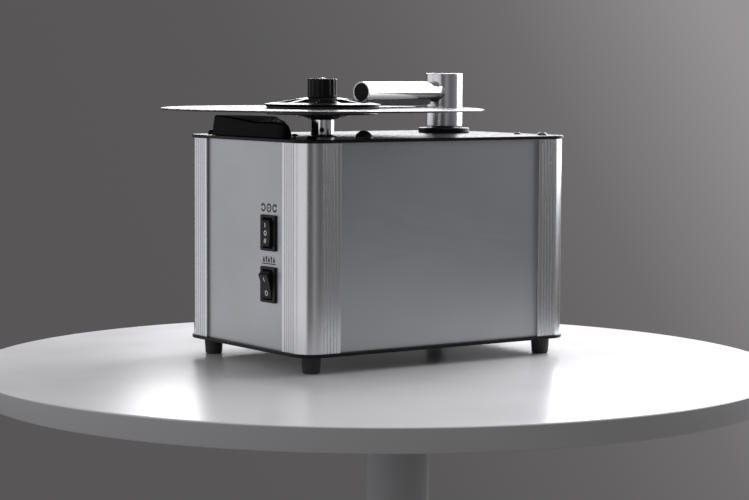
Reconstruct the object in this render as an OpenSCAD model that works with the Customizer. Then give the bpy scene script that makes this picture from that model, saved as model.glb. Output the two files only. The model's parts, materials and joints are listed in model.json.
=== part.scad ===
// Record cleaning machine: a box on four feet that turns a 12 inch record under a vacuum arm.
// Frame: millimetres, +Z up, origin on the floor at the middle of the box, front (switch side) towards -Y.

/* [Box] */
// Width of the top and bottom plates, along X
body_w = 212; // [200:1:260]
// Depth of the top and bottom plates, along Y
body_d = 310; // [300:1:360]
// Height of the corner profiles and panels between the plates
shell_h = 190; // [185:1:240]
// Thickness of the top and bottom plates
plate_t = 3; // [2:0.5:5]
// Corner radius of the plates
plate_r = 22; // [12:1:28]
// How far the plates stand proud of the profiles
overhang = 1.5; // [0.5:0.5:3]
// Thickness of the side, front and rear panels
panel_t = 2; // [1:0.5:3]

/* [Corner profiles] */
// Width of each leg of a corner profile
profile_leg = 38.5; // [36:0.5:50]
// Thickness of the profile's outer wall
profile_skin = 2.3; // [2:0.1:3]
// Thickness of the profile's inner lips and webs
lip_t = 1.6; // [1:0.1:3]
// Depth of the slot that holds a panel's edge
slot_depth = 8; // [5:0.5:12]
// Number of grooves on each leg
groove_n = 5; // [1:1:5]
// Distance from the profile's corner to the first groove
groove_first = 19.2; // [15:0.1:20]
// Distance from one groove to the next
groove_pitch = 3.5; // [2.5:0.1:3.6]
// Width of a groove
groove_w = 1.4; // [0.8:0.1:2]
// Depth of a groove
groove_depth = 0.8; // [0.3:0.1:1.2]
// Diameter of the screw boss in the profile
boss_d = 9; // [7:0.5:12]

/* [Feet and screws] */
// Height of a foot
foot_h = 16; // [8:1:30]
// Diameter of a foot at its top
foot_top_d = 18; // [15:0.5:22]
// Diameter of a foot where it stands
foot_bottom_d = 16; // [14:0.5:20]
// Distance from the plate's edges to a foot's centre
foot_inset = 21; // [17:0.5:30]
// Diameter of the corner screws' shanks
screw_d = 4.5; // [3:0.5:5]
// Diameter of the corner screws' domed heads
screw_head_d = 11; // [8:0.5:11]
// Height of the corner screws' domed heads
screw_head_h = 3.2; // [2:0.1:4]
// Length of the corner screws' shanks
screw_len = 20; // [12:1:40]
// Diameter of the small plate screws' shanks
small_screw_d = 3; // [2:0.5:4]
// Diameter of the small plate screws' heads
small_head_d = 7.5; // [5:0.5:9]
// Height of the small plate screws' heads
small_head_h = 2.2; // [1.5:0.1:3]

/* [Switches] */
// Distance of the switches from the box's middle plane
switch_x = 41; // [20:1:50]
// Height of the upper (motor) switch above the floor
motor_switch_z = 125.5; // [110:0.5:150]
// Height of the lower (vacuum) switch above the floor
vacuum_switch_z = 78; // [60:0.5:90]
// Width of a switch bezel
bezel_w = 25; // [22:0.5:28]
// Height of a switch bezel
bezel_h = 33; // [31:0.5:40]
// How far a bezel stands out from the panel
bezel_t = 2; // [1:0.1:3]
// Width of a rocker
rocker_w = 15; // [10:0.5:17]
// Radius of a rocker's swept ends about its pivot
rocker_r = 13.6; // [11:0.1:13.8]
// Tilt of the vacuum rocker at rest, upper end out
rocker_tilt = 12; // [0:1:14]
// Diameter of a rocker's pivot pins
rocker_pin_d = 3; // [2:0.1:4]

/* [Record drive] */
// Distance of the spindle from the box's middle plane, along X
spindle_x = 28; // [20:1:34]
// Distance from the box's front edge to the spindle
spindle_inset = 71; // [65:1:77]
// Diameter of the chrome hub
hub_d = 22; // [18:0.5:26]
// Height of the platter's underside at the hub, above the top plate
hub_h = 16; // [12:0.5:20]
// Diameter of the motor's output shaft
shaft_d = 8; // [6:0.5:9]
// Diameter of the spindle pin that centres the record
pin_d = 7.1; // [6:0.1:7.1]
// Diameter of the platter disc
platter_d = 104; // [90:1:120]
// Height of the platter disc from its hub to its top
platter_h = 8.2; // [6:0.2:12]
// Thickness of the rim of the platter disc
platter_rim_t = 2.7; // [2:0.1:5]
// Thickness of the mat on the platter
mat_t = 0.8; // [0.5:0.1:2]
// Diameter of the record
record_d = 301.6; // [299:0.1:302]
// Thickness of the record at its rim and label
record_t = 1.6; // [1.2:0.1:2]
// Diameter of the gearbox under the plate
gearbox_d = 62; // [50:1:64]
// Height of the gearbox
gearbox_h = 28; // [20:1:32]
// Diameter of the drive motor's can
motor_d = 56; // [40:1:60]
// Height of the drive motor's can
motor_h = 42; // [30:1:44]

/* [Clamp] */
// Diameter of the clamp disc at its top edge
clamp_d = 109; // [100:0.5:110]
// Height of the clamp disc's rim above the seal
clamp_rim_h = 2.3; // [2:0.1:5]
// Rise of the clamp disc's top from rim to knob
clamp_rise = 5.8; // [3:0.1:8]
// Number of recessed windows in the clamp disc
window_n = 12; // [4:1:16]
// Depth of the recessed windows
window_depth = 4.1; // [1:0.1:4.3]
// Diameter of the clamp knob
knob_d = 28.2; // [22:0.2:34]
// Height of the clamp knob
knob_h = 17.5; // [12:0.5:20]
// Number of shallow flutes round the knob
flute_n = 18; // [6:1:24]

/* [Vacuum arm] */
// Place of the arm post along X
post_x = -28; // [-40:1:-25]
// Distance from the box's rear edge to the arm post
post_inset = 55; // [49:1:57]
// Diameter of the arm post
post_d = 36.5; // [32:0.5:40]
// Height of the post's top above the top plate
post_top = 59; // [56:0.5:70]
// Wall of the arm post
post_wall = 3; // [2:0.5:5]
// Diameter of the flange under the post
flange_d = 51; // [48:1:64]
// Thickness of the flange
flange_t = 5; // [4:0.5:8]
// Gap between the flange and the post
post_gap = 1.3; // [1.1:0.1:3]
// Diameter of the arm tube
tube_d = 20; // [16:0.5:22]
// Wall of the arm tube
tube_wall = 1.4; // [1:0.1:2]
// Height of the arm tube's centre above the top plate
tube_z = 41; // [40:0.5:46]
// Gap between the arm tube's end and the clamp's rim
arm_end_gap = 3.8; // [3:0.1:18]
// Width of the suction slot under the arm tube
slot_w = 6; // [3:0.5:7]
// Diameter of the stem that carries the arm
stem_d = 24; // [18:1:26]
// Bore of the stem
stem_bore = 18; // [12:1:20]
// Gap between the velvet and the record at rest
velvet_gap = 1.3; // [1.2:0.1:2]
// Number of turns of the lift spring
spring_n = 6; // [4:1:9]
// Wire diameter of the lift spring
spring_wire = 1.8; // [1:0.1:2.4]

/* [Exhaust hood] */
// Distance from the plate's left edge to the hood
hood_left = 26.5; // [26.5:0.5:32]
// Length of the hood
hood_len = 127; // [110:1:131]
// Distance from the front edge of the plate to the hood
hood_inset = 15; // [14:1:20]
// Depth of the hood, along Y
hood_depth = 28; // [24:1:34]
// Height of the hood at its rear
hood_h = 18.5; // [16:0.5:20]
// Height of the hood's low front part
hood_low_h = 14; // [12:0.5:15]
// Wall of the hood
hood_wall = 2; // [1.5:0.1:3]
// Thickness of the hood's end tabs
tab_t = 2; // [1:0.2:3]

/* [Waste tank] */
// Distance from the box's side to the waste tank
tank_side_gap = 14; // [13:1:30]
// Distance from the motor box to the waste tank
tank_front_gap = 25; // [25:1:50]
// Height of the waste tank's rim above the motor box
tank_over_box = 6; // [4:1:12]
// Wall of the waste tank
tank_wall = 3; // [2:0.5:5]
// Diameter of the suction hose
hose_d = 32; // [26:1:34]
// Wall of the suction hose
hose_wall = 2.5; // [1.5:0.5:4]

/* [Vacuum motor] */
// Distance from the box's front edge to the vacuum motor's axis
vacuum_inset = 80; // [78:1:82]
// Distance from the box's left side to the motor box
box_side_gap = 28; // [26:1:30]
// Half of the motor box's depth, along Y
box_half_d = 58; // [54:0.5:60]
// Gap between the motor box and the drive motor above it
motor_box_gap = 8; // [4:1:12]
// Wall of the motor box
box_wall = 3; // [2:0.5:5]
// Diameter of the vacuum motor's body
vacuum_d = 80; // [60:1:90]
// Gap between the fan cover and the motor box's walls
fan_cover_gap = 1; // [1:0.5:8]
// Number of blades of the fan impeller
blade_n = 9; // [5:1:12]

/* [Rear connections] */
// Place of the power inlet along X
inlet_x = -38; // [-38:1:-10]
// Height of the power inlet above the floor
inlet_z = 60; // [40:1:120]
// Place of the drain spout along X
spout_x = 48; // [30:1:58]
// Height of the drain spout above the floor
spout_z = 36; // [34:1:60]
// Outer diameter of the drain spout
spout_d = 14; // [10:0.5:18]
// Distance the drain spout stands out from the rear panel
spout_out = 14; // [10:1:24]

/* [Clearances] */
// Clearance on each side of a panel in its slot
panel_play = 0.1; // [0.05:0.05:0.3]
// Radial clearance of a turning or sliding shaft in its bore
run_play = 0.05; // [0.02:0.01:0.1]
// Gap between a piece and the hole or pocket it stands in
fit_gap = 0.2; // [0.1:0.05:0.4]
// Gap between parts that move past each other
move_gap = 0.6; // [0.4:0.1:1]

/* [Hidden] */
$fn = 64;

// Length that a cutting shape runs past the face it cuts
cut = 1;

// Heights of the box, from the floor up
base_under = foot_h;
base_top = base_under + plate_t;
lid_under = base_top + shell_h;
lid_top = lid_under + plate_t;

// Places that follow the box's size
post_y = body_d / 2 - post_inset;
record_clear = 1.5;
arm_reach_min = record_d / 2 + post_d / 2 + record_clear;
arm_step_x = spindle_x - post_x;
spindle_y = min(-body_d / 2 + spindle_inset, post_y - sqrt(pow(arm_reach_min, 2) - pow(arm_step_x, 2)));
arm_span = norm([arm_step_x, spindle_y - post_y]);
arm_len = arm_span - clamp_d / 2 - arm_end_gap;
hood_x0 = -body_w / 2 + hood_left;
tank_w = body_w - 2 * tank_side_gap;

// Corner profiles and panels
profile_r = plate_r - overhang;
profile_wall = profile_skin - 0.3;
slot_gap = panel_t + 2 * panel_play;
slot_back = profile_skin + slot_gap;
boss_inset = foot_inset - overhang;
boss_bore = screw_d + 2 * run_play;
panel_face = overhang + profile_skin + panel_play;
panel_reach = overhang + profile_leg - slot_depth + fit_gap;
front_face_y = -body_d / 2 + panel_face;
rear_face_y = body_d / 2 - panel_face;

// Corner screw and foot places
corner_x = body_w / 2 - foot_inset;
corner_y = body_d / 2 - foot_inset;
screw_hole_d = screw_d + 2 * fit_gap;
foot_recess_d = 10;
foot_recess_h = 4;
foot_screw_head_d = 8.5;
foot_screw_head_h = 2.6;

// Switches
body_in_w = 22;
body_in_h = 30;
switch_deep = 24;
rocker_play = 0.3;
pivot_deep = 4.6;
pivot_y = front_face_y - bezel_t + pivot_deep;
face_mid = 6.9;
face_end = 8;
rocker_back = 3;
rocker_pin_len = 1.6;
rocker_travel = 14;
cavity_deep = pivot_deep + rocker_back * cos(rocker_travel) + rocker_r * sin(rocker_travel) + rocker_play;
terminal_t = 0.8;
terminal_w = 6.3;
terminal_len = 8;
terminal_rise = 9;

// Motor box, between the left side and the switches
switch_side_gap = 4;
box_x0 = -body_w / 2 + box_side_gap;
box_x1 = switch_x - body_in_w / 2 - switch_side_gap;
box_half_w = (box_x1 - box_x0) / 2;
vacuum_x = (box_x0 + box_x1) / 2;
vacuum_y = -body_d / 2 + vacuum_inset;
fan_cover_d = 2 * (min(box_half_w, box_half_d) - box_wall - fan_cover_gap);
vacuum_pad_step = 8;

// Record drive, heights above the floor
clamp_seal_t = 1.8;
bracket_t = 3;
bracket_leg_h = 16;
bracket_z = lid_under - bracket_leg_h - bracket_t;
box_h = bracket_z - gearbox_h - motor_h - motor_box_gap - base_top;
tank_h = box_h + tank_over_box;
shaft_in_gearbox = 12;
hub_gap = 1.2;
hub_z0 = lid_top + hub_gap;
hub_z1 = lid_top + hub_h;
spigot_d = 13;
platter_z1 = hub_z1 + platter_h;
record_z0 = platter_z1 + mat_t;
record_z1 = record_z0 + record_t;
label_d = 100;
pin_top = record_z1 + clamp_seal_t + clamp_rim_h + clamp_rise + knob_h + 1.1;
platter_cone_r = 31;
pin_stub_d = 6;
pin_stub_h = 7;
spigot_h = platter_h - 0.6;
hub_web = 2.6;
shaft_top_z = hub_z1 + spigot_h - pin_stub_h - hub_web;
shaft_z0 = bracket_z - shaft_in_gearbox + fit_gap;
bush_flange_t = 0.8;
bush_d = hub_d + 4;
bracket_w = 74;
bracket_d = 74;
bracket_leg_d = 9;
bracket_leg_inset = 8;
neck_d = 20;
grub_z = 6.5;
grub_turn = -37;
grub_d = 4;
plug_in = 28;
plug_x = body_w / 2 - plug_in;
plug_y = spindle_y + 12;
plug_d = 17;
plug_h = 7;
plug_stem_d = 9;

// Clamp
clamp_seal_w = 9;
clamp_taper = 1.8;
clamp_z0 = record_z1 + clamp_seal_t;
clamp_rim_z = clamp_z0 + clamp_rim_h;
knob_z0 = clamp_rim_z + clamp_rise;
window_r0 = knob_d / 2 + 11;
window_r1 = clamp_d / 2 - 9;
spoke_w = 4;
flute_depth = 0.5;

// Vacuum arm
arm_dir = atan2(spindle_y - post_y, spindle_x - post_x);
flange_z1 = lid_top + flange_t;
post_z0 = flange_z1 + post_gap;
post_z1 = lid_top + post_top;
post_cap_t = 3;
tube_axis_z = lid_top + tube_z;
collar_d = tube_d + 3.4;
collar_len = 3.4;
arm_cap_t = 6;
arm_cap_recess = 0.4;
slot_start = post_d / 2 + 20;
slot_end = arm_len - 8;
slot_len = slot_end - slot_start;
velvet_w = 5;
velvet_z0 = record_z1 + velvet_gap;
velvet_start = post_d / 2 + 13.5;
velvet_end = arm_len - 3;
bush_od = stem_d + 6;
bush_id = stem_d + 2 * run_play;
bush_shoulder_d = bush_od + 6;
bush_shoulder_t = 4;
bush_len = 24;
bush_z0 = lid_under - bush_len;
stem_socket_d = post_d - 2 * post_wall - 2 * fit_gap;
stem_dip = 22;
stem_z0 = base_top + tank_h - stem_dip;
stem_collar_d = stem_d + 12;
stem_collar_t = 3;
stem_collar_z1 = bush_z0 - move_gap;
stem_collar_z0 = stem_collar_z1 - stem_collar_t;
duct_bore = tube_d - 2 * tube_wall;
spring_r = stem_d / 2 + 1.6 + spring_wire / 2;

// Waste tank and hose
tank_rear_gap = 30;
tank_y0 = vacuum_y + box_half_d + tank_front_gap;
tank_d = body_d / 2 - tank_rear_gap - tank_y0;
tank_yc = tank_y0 + tank_d / 2;
tank_top = base_top + tank_h;
tank_lid_t = 3;
tank_lid_lip = 4;
hose_x = vacuum_x;
hose_port_in = 26;
hose_y1 = tank_y0 + hose_port_in;
hose_y0 = vacuum_y;
hose_mid_y = (hose_y0 + hose_y1) / 2;
hose_bend_r = (hose_y1 - hose_y0) / 2;
neck_od = hose_d - 2 * hose_wall - 2 * fit_gap;
neck_id = neck_od - 4;
neck_h = 12;
hose_z = base_top + box_h + neck_h + 2;
lid_port_z = tank_top + tank_lid_t;
grommet_d = stem_d + 2 * move_gap;
spring_z0 = tank_top + tank_lid_t;
spring_z1 = stem_collar_z0;
hanger_t = 1.5;
hanger_w = 116;
hanger_flange = 13;
hanger_foot_w = 13;
hanger_y = tank_y0 + tank_d - tank_wall - hanger_t;
hanger_screw_x = 48;
hanger_screw_in = 22;
hanger_screw_y = body_d / 2 - hanger_screw_in;

// Vacuum motor
box_z1 = base_top + box_h;
vacuum_z0 = base_top + 6;
vacuum_pad_h = 6;
fan_cover_h = 34;
fan_z0 = box_z1 - box_wall - fan_cover_h;
fan_wall = 2;
fan_d = fan_cover_d - 12;
fan_h = 14;
outlet_n = 6;
outlet_w = 24;
outlet_h = 10;
fan_lift = 4;
fan_shaft_d = 8;
fan_disc_t = 2;

// Exhaust hood and duct
hood_x1 = hood_x0 + hood_len;
hood_y0 = -body_d / 2 + hood_inset;
hood_y1 = hood_y0 + hood_depth;
hood_round = 2;
hood_under_h = min(hood_h, hub_h + 0.6);
hood_lean = 3;
hood_fall = 40;
tab_len = 10;
tab_d = 11;
hood_back = hood_depth - 9.5;
right_tab_y = hood_y0 + 9;
tab_places = [[-corner_x, -corner_y], [hood_x1 + tab_len / 2, right_tab_y]];
vent_in = 10;
duct_clear = 2;
duct_wall = 2;
vent_x0 = hood_x0 + vent_in;
vent_x1 = spindle_x - bracket_w / 2 - duct_wall - duct_clear;
vent_w = vent_x1 - vent_x0;
vent_d = 14;
vent_x = (vent_x0 + vent_x1) / 2;
vent_y = hood_y0 + 18;
duct_z0 = box_z1;

// Rear connections
inlet_w = 27;
inlet_h = 20;
inlet_deep = 24;
inlet_flange_w = 50;
inlet_flange_h = 24;
inlet_flange_t = 3;
inlet_cavity_w = 24;
inlet_cavity_h = 16.5;
inlet_cavity_deep = 16;
inlet_pin_w = 4;
inlet_pin_t = 2;
inlet_pin_len = 14;
inlet_pin_gap = 7;
inlet_screw_gap = 40;
inlet_screw_d = 3;
spout_wall = 2;
spout_flange_d = spout_d + 8;
spout_flange_t = 3;
spout_y1 = rear_face_y + spout_out;
cap_wall = 2;
cap_len = 9;

function polar(r, a) = [r * cos(a), r * sin(a)];

module ring(d_out, d_in, h) {
  difference() {
    cylinder(d = d_out, h = h);
    translate([0, 0, -cut]) cylinder(d = d_in, h = h + 2 * cut);
  }
}

module rounded_rect(w, d, r) {
  square([w - 2 * r, d], center = true);
  square([w, d - 2 * r], center = true);
  for (sx = [-1, 1], sy = [-1, 1])
    translate([sx * (w / 2 - r), sy * (d / 2 - r)]) circle(r);
}

module at_corners() {
  for (sx = [-1, 1], sy = [-1, 1]) translate([sx * corner_x, sy * corner_y, 0]) children();
}

// A domed screw, its head standing on z = 0 and its shank below, with a socket in the head
module domed_screw(d, head_d, head_h, len) {
  ball_r = (head_d * head_d / 4 + head_h * head_h) / (2 * head_h);
  difference() {
    intersection() {
      translate([0, 0, head_h - ball_r]) sphere(ball_r);
      cylinder(d = head_d, h = head_h + cut);
    }
    translate([0, 0, head_h * 0.45]) cylinder(d = head_d * 0.42, h = head_h, $fn = 6);
  }
  translate([0, 0, -len]) cylinder(d = d, h = len + head_h * 0.2);
}

// Along the arm: x runs from the post's axis towards the arm's end
module along_arm() {
  translate([post_x, post_y, 0]) rotate([0, 0, arm_dir]) children();
}

module plate_blank(z) {
  translate([0, 0, z]) linear_extrude(plate_t) rounded_rect(body_w, body_d, plate_r);
}

module plate_hole(x, y, d, z) {
  translate([x, y, z - cut]) cylinder(d = d, h = plate_t + 2 * cut);
}

module top_plate() {
  color([0.06, 0.06, 0.065])
  difference() {
    plate_blank(lid_under);
    at_corners() translate([0, 0, lid_under - cut]) cylinder(d = screw_hole_d, h = plate_t + 2 * cut);
    plate_hole(spindle_x, spindle_y, bush_d + 2 * fit_gap, lid_under);
    plate_hole(post_x, post_y, bush_od + 2 * fit_gap, lid_under);
    plate_hole(plug_x, plug_y, plug_stem_d + 2 * fit_gap, lid_under);
    for (s = [-1, 1])
      plate_hole(s * hanger_screw_x, hanger_screw_y, small_screw_d + 2 * fit_gap, lid_under);
    plate_hole(tab_places[1][0], tab_places[1][1], small_screw_d + 2 * fit_gap, lid_under);
    translate([vent_x - vent_w / 2, vent_y - vent_d / 2, lid_under - cut])
      cube([vent_w, vent_d, plate_t + 2 * cut]);
  }
}

module bottom_plate() {
  color([0.06, 0.06, 0.065])
  difference() {
    plate_blank(base_under);
    at_corners() translate([0, 0, base_under - cut]) cylinder(d = screw_hole_d, h = plate_t + 2 * cut);
  }
}

// Square of the given side whose corner at the origin is rounded
module corner_square(side, r) {
  difference() {
    square(side);
    difference() {
      translate([-cut, -cut]) square(r + cut);
      translate([r, r]) circle(r);
    }
  }
}

// A box on one of the section's two legs: x runs along the leg, y from its outer face inwards
module leg_box(leg, x, y, w, d) {
  translate(leg == 0 ? [x, y] : [y, x]) square(leg == 0 ? [w, d] : [d, w]);
}

module profile_section() {
  web_w = 2.4;
  web_start = profile_r * (sqrt(2) - 1) + profile_wall / 2;
  difference() {
    union() {
      difference() {
        corner_square(profile_leg, profile_r);
        translate([profile_wall, profile_wall]) corner_square(profile_leg, profile_r - profile_wall);
      }
      for (leg = [0, 1])
        leg_box(leg, profile_leg - slot_depth - lip_t, profile_wall / 2, slot_depth + lip_t,
          slot_back + lip_t - profile_wall / 2);
      translate([boss_inset, boss_inset]) circle(d = boss_d);
      rotate(45) translate([web_start, -web_w / 2]) square([boss_inset * sqrt(2) - web_start, web_w]);
    }
    for (leg = [0, 1]) {
      leg_box(leg, profile_leg - slot_depth, profile_skin, slot_depth + cut, slot_gap);
      for (i = [0 : groove_n - 1])
        leg_box(leg, groove_first + i * groove_pitch, -cut, groove_w, groove_depth + cut);
    }
    translate([boss_inset, boss_inset]) circle(d = boss_bore);
  }
}

// sx and sy are the signs of the corner's X and Y
module corner_profile(sx, sy) {
  color([0.78, 0.79, 0.81])
  translate([sx * (body_w / 2 - overhang), sy * (body_d / 2 - overhang), base_top])
    mirror([sx > 0 ? 1 : 0, 0, 0])
      mirror([0, sy > 0 ? 1 : 0, 0])
        linear_extrude(shell_h) profile_section();
}

module corner_profile_front_right() { corner_profile(1, -1); }
module corner_profile_front_left() { corner_profile(-1, -1); }
module corner_profile_rear_left() { corner_profile(-1, 1); }
module corner_profile_rear_right() { corner_profile(1, 1); }

// A panel across the front or rear; its outer face is at y = 0 and it runs towards +Y
module cross_panel() {
  half = body_w / 2 - panel_reach;
  translate([-half, 0, base_top]) cube([2 * half, panel_t, shell_h]);
}

module side_panel() {
  half = body_d / 2 - panel_reach;
  translate([0, -half, base_top]) cube([panel_t, 2 * half, shell_h]);
}

module switch_cutout(z) {
  translate([switch_x - body_in_w / 2 - fit_gap, -cut, z - body_in_h / 2 - fit_gap])
    cube([body_in_w + 2 * fit_gap, panel_t + 2 * cut, body_in_h + 2 * fit_gap]);
}

module switch_panel() {
  color([0.62, 0.63, 0.65])
  translate([0, front_face_y, 0])
  difference() {
    cross_panel();
    switch_cutout(motor_switch_z);
    switch_cutout(vacuum_switch_z);
  }
}

module right_panel() {
  color([0.62, 0.63, 0.65]) translate([body_w / 2 - panel_face - panel_t, 0, 0]) side_panel();
}

module left_panel() {
  color([0.62, 0.63, 0.65]) translate([-body_w / 2 + panel_face, 0, 0]) side_panel();
}

module rear_panel() {
  color([0.62, 0.63, 0.65])
  translate([0, rear_face_y - panel_t, 0])
  difference() {
    cross_panel();
    translate([inlet_x - inlet_w / 2 - fit_gap, -cut, inlet_z - inlet_h / 2 - fit_gap])
      cube([inlet_w + 2 * fit_gap, panel_t + 2 * cut, inlet_h + 2 * fit_gap]);
    for (s = [-1, 1])
      translate([inlet_x + s * inlet_screw_gap / 2, -cut, inlet_z])
        rotate([-90, 0, 0]) cylinder(d = inlet_screw_d + 2 * fit_gap, h = panel_t + 2 * cut);
    translate([spout_x, -cut, spout_z])
      rotate([-90, 0, 0]) cylinder(d = spout_d + 2 * move_gap, h = panel_t + 2 * cut);
  }
}

module foot(sx, sy) {
  edge = 1.2;
  color([0.05, 0.05, 0.05])
  translate([sx * corner_x, sy * corner_y, 0])
  difference() {
    rotate_extrude()
      polygon([
        [0, 0], [foot_bottom_d / 2 - edge, 0], [foot_bottom_d / 2, edge], [foot_top_d / 2, base_under],
        [0, base_under]
      ]);
    translate([0, 0, -cut]) cylinder(d = screw_hole_d, h = base_under + 2 * cut);
    translate([0, 0, -cut]) cylinder(d = foot_recess_d, h = foot_recess_h + cut);
  }
}

module foot_front_right() { foot(1, -1); }
module foot_front_left() { foot(-1, -1); }
module foot_rear_left() { foot(-1, 1); }
module foot_rear_right() { foot(1, 1); }

module foot_screws() {
  color([0.7, 0.7, 0.72])
  at_corners() {
    translate([0, 0, foot_recess_h - foot_screw_head_h])
    difference() {
      cylinder(d = foot_screw_head_d, h = foot_screw_head_h);
      translate([0, 0, -cut]) cylinder(d = foot_screw_head_d * 0.45, h = cut + 1.4, $fn = 6);
    }
    translate([0, 0, foot_recess_h]) cylinder(d = screw_d, h = base_top - foot_recess_h + screw_len);
  }
}

module plate_screws() {
  small_len = plate_t + 5;
  color([0.1, 0.1, 0.1]) {
    for (sx = [-1, 1], sy = [-1, 1])
      translate([sx * corner_x, sy * corner_y, lid_top + (sx + sy == -2 ? tab_t : 0)])
        domed_screw(screw_d, screw_head_d, screw_head_h, screw_len);
    for (s = [-1, 1])
      translate([s * hanger_screw_x, hanger_screw_y, lid_top])
        domed_screw(small_screw_d, small_head_d, small_head_h, small_len);
    translate([tab_places[1][0], tab_places[1][1], lid_top + tab_t])
      domed_screw(small_screw_d, small_head_d, small_head_h, small_len + tab_t);
  }
}

module access_plug() {
  skirt = 1.2;
  ball_r = (plug_d * plug_d / 4 + plug_h * plug_h) / (2 * plug_h);
  color([0.04, 0.04, 0.045])
  translate([plug_x, plug_y, lid_top]) {
    intersection() {
      translate([0, 0, plug_h - ball_r]) sphere(ball_r);
      cylinder(d = plug_d, h = plug_h + cut);
    }
    translate([0, 0, -plate_t - skirt]) cylinder(d = plug_stem_d, h = plate_t + skirt + plug_h / 3);
  }
}

// One switch, its panel's outer face at y = 0, outward is -Y, centred on x = 0 and z = 0
module switch_housing(z) {
  cavity_w = rocker_w + 2 * rocker_play;
  cavity_h = 2 * rocker_r + 2 * rocker_play;
  pin_span = rocker_w + 2 * rocker_pin_len + 2 * rocker_play;
  color([0.05, 0.05, 0.055])
  translate([switch_x, front_face_y, z])
  difference() {
    union() {
      rotate([90, 0, 0]) linear_extrude(bezel_t) rounded_rect(bezel_w, bezel_h, 1.5);
      translate([-body_in_w / 2, -bezel_t / 2, -body_in_h / 2])
        cube([body_in_w, switch_deep + bezel_t / 2, body_in_h]);
      for (s = [-1, 0, 1])
        translate([-terminal_w / 2, switch_deep - cut, s * terminal_rise - terminal_t / 2])
          cube([terminal_w, terminal_len + cut, terminal_t]);
    }
    translate([-cavity_w / 2, -bezel_t - cut, -cavity_h / 2])
      cube([cavity_w, cavity_deep + cut, cavity_h]);
    translate([-pin_span / 2, pivot_deep - bezel_t, 0])
      rotate([0, 90, 0]) cylinder(d = rocker_pin_d + 2 * run_play, h = pin_span);
  }
}

module rocker_outline() {
  intersection() {
    circle(rocker_r);
    polygon([
      [-rocker_back, -rocker_r], [face_end, -rocker_r], [face_mid, 0], [face_end, rocker_r],
      [-rocker_back, rocker_r]
    ]);
  }
}

// Rocker about its pivot at height z, tilted so that its upper end stands out
module rocker(z, tilt) {
  color([0.04, 0.04, 0.045])
  translate([switch_x, pivot_y, z])
    rotate([tilt, 0, 0]) {
      rotate([90, 0, -90]) linear_extrude(rocker_w, center = true) rocker_outline();
      rotate([0, 90, 0]) cylinder(d = rocker_pin_d, h = rocker_w + 2 * rocker_pin_len, center = true);
    }
}

module motor_switch_housing() { switch_housing(motor_switch_z); }
module motor_rocker() { rocker(motor_switch_z, 0); }
module vacuum_switch_housing() { switch_housing(vacuum_switch_z); }
module vacuum_rocker() { rocker(vacuum_switch_z, rocker_tilt); }

module at_spindle(z) {
  translate([spindle_x, spindle_y, z]) children();
}

module spindle_motor() {
  rim = 2;
  color([0.55, 0.56, 0.58])
  at_spindle(bracket_z - gearbox_h - motor_h) {
    cylinder(d = motor_d - 2 * rim, h = motor_h);
    translate([0, 0, rim]) cylinder(d = motor_d, h = motor_h - 2 * rim);
    translate([0, 0, -3]) cylinder(d = motor_d / 3, h = 3 + cut);
  }
}

module motor_gearbox() {
  neck_h = bracket_t + 6;
  color([0.68, 0.69, 0.7])
  at_spindle(bracket_z - gearbox_h)
  difference() {
    union() {
      cylinder(d = gearbox_d, h = gearbox_h);
      translate([0, 0, gearbox_h - cut]) cylinder(d = neck_d, h = neck_h + cut);
    }
    translate([0, 0, gearbox_h - shaft_in_gearbox])
      cylinder(d = shaft_d + 2 * run_play, h = shaft_in_gearbox + neck_h + cut);
  }
}

module motor_bracket() {
  leg_x = bracket_w / 2 - bracket_leg_inset;
  leg_y = bracket_d / 2 - bracket_leg_inset;
  color([0.7, 0.7, 0.72])
  at_spindle(bracket_z)
  difference() {
    union() {
      linear_extrude(bracket_t) rounded_rect(bracket_w, bracket_d, bracket_leg_inset - 2);
      for (sx = [-1, 1], sy = [-1, 1])
        translate([sx * leg_x, sy * leg_y, 0]) cylinder(d = bracket_leg_d, h = bracket_t + bracket_leg_h);
    }
    translate([0, 0, -cut]) cylinder(d = neck_d + 2 * fit_gap, h = bracket_t + 2 * cut);
  }
}

module motor_shaft() {
  color([0.75, 0.76, 0.78])
  at_spindle(shaft_z0) cylinder(d = shaft_d, h = shaft_top_z - fit_gap - shaft_z0);
}

module spindle_bush() {
  color([0.08, 0.08, 0.08])
  at_spindle(lid_under)
  difference() {
    union() {
      cylinder(d = bush_d, h = plate_t + bush_flange_t);
      translate([0, 0, plate_t]) cylinder(d = bush_d + 2, h = bush_flange_t);
    }
    translate([0, 0, -cut]) cylinder(d = shaft_d + 2 * move_gap, h = plate_t + bush_flange_t + 2 * cut);
  }
}

module spindle_hub() {
  chamfer = 0.8;
  color([0.88, 0.88, 0.9])
  at_spindle(0)
  difference() {
    rotate_extrude()
      polygon([
        [0, hub_z0], [hub_d / 2 - chamfer, hub_z0], [hub_d / 2, hub_z0 + chamfer], [hub_d / 2, hub_z1],
        [spigot_d / 2, hub_z1], [spigot_d / 2, hub_z1 + spigot_h], [0, hub_z1 + spigot_h]
      ]);
    translate([0, 0, hub_z0 - cut])
      cylinder(d = shaft_d + 2 * run_play, h = shaft_top_z - hub_z0 + cut);
    translate([0, 0, hub_z1 + spigot_h - pin_stub_h])
      cylinder(d = pin_stub_d + 2 * run_play, h = pin_stub_h + cut);
    translate([0, 0, lid_top + grub_z])
      rotate([0, 0, grub_turn]) rotate([0, 90, 0]) cylinder(d = grub_d + 2 * run_play, h = hub_d);
  }
}

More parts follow.
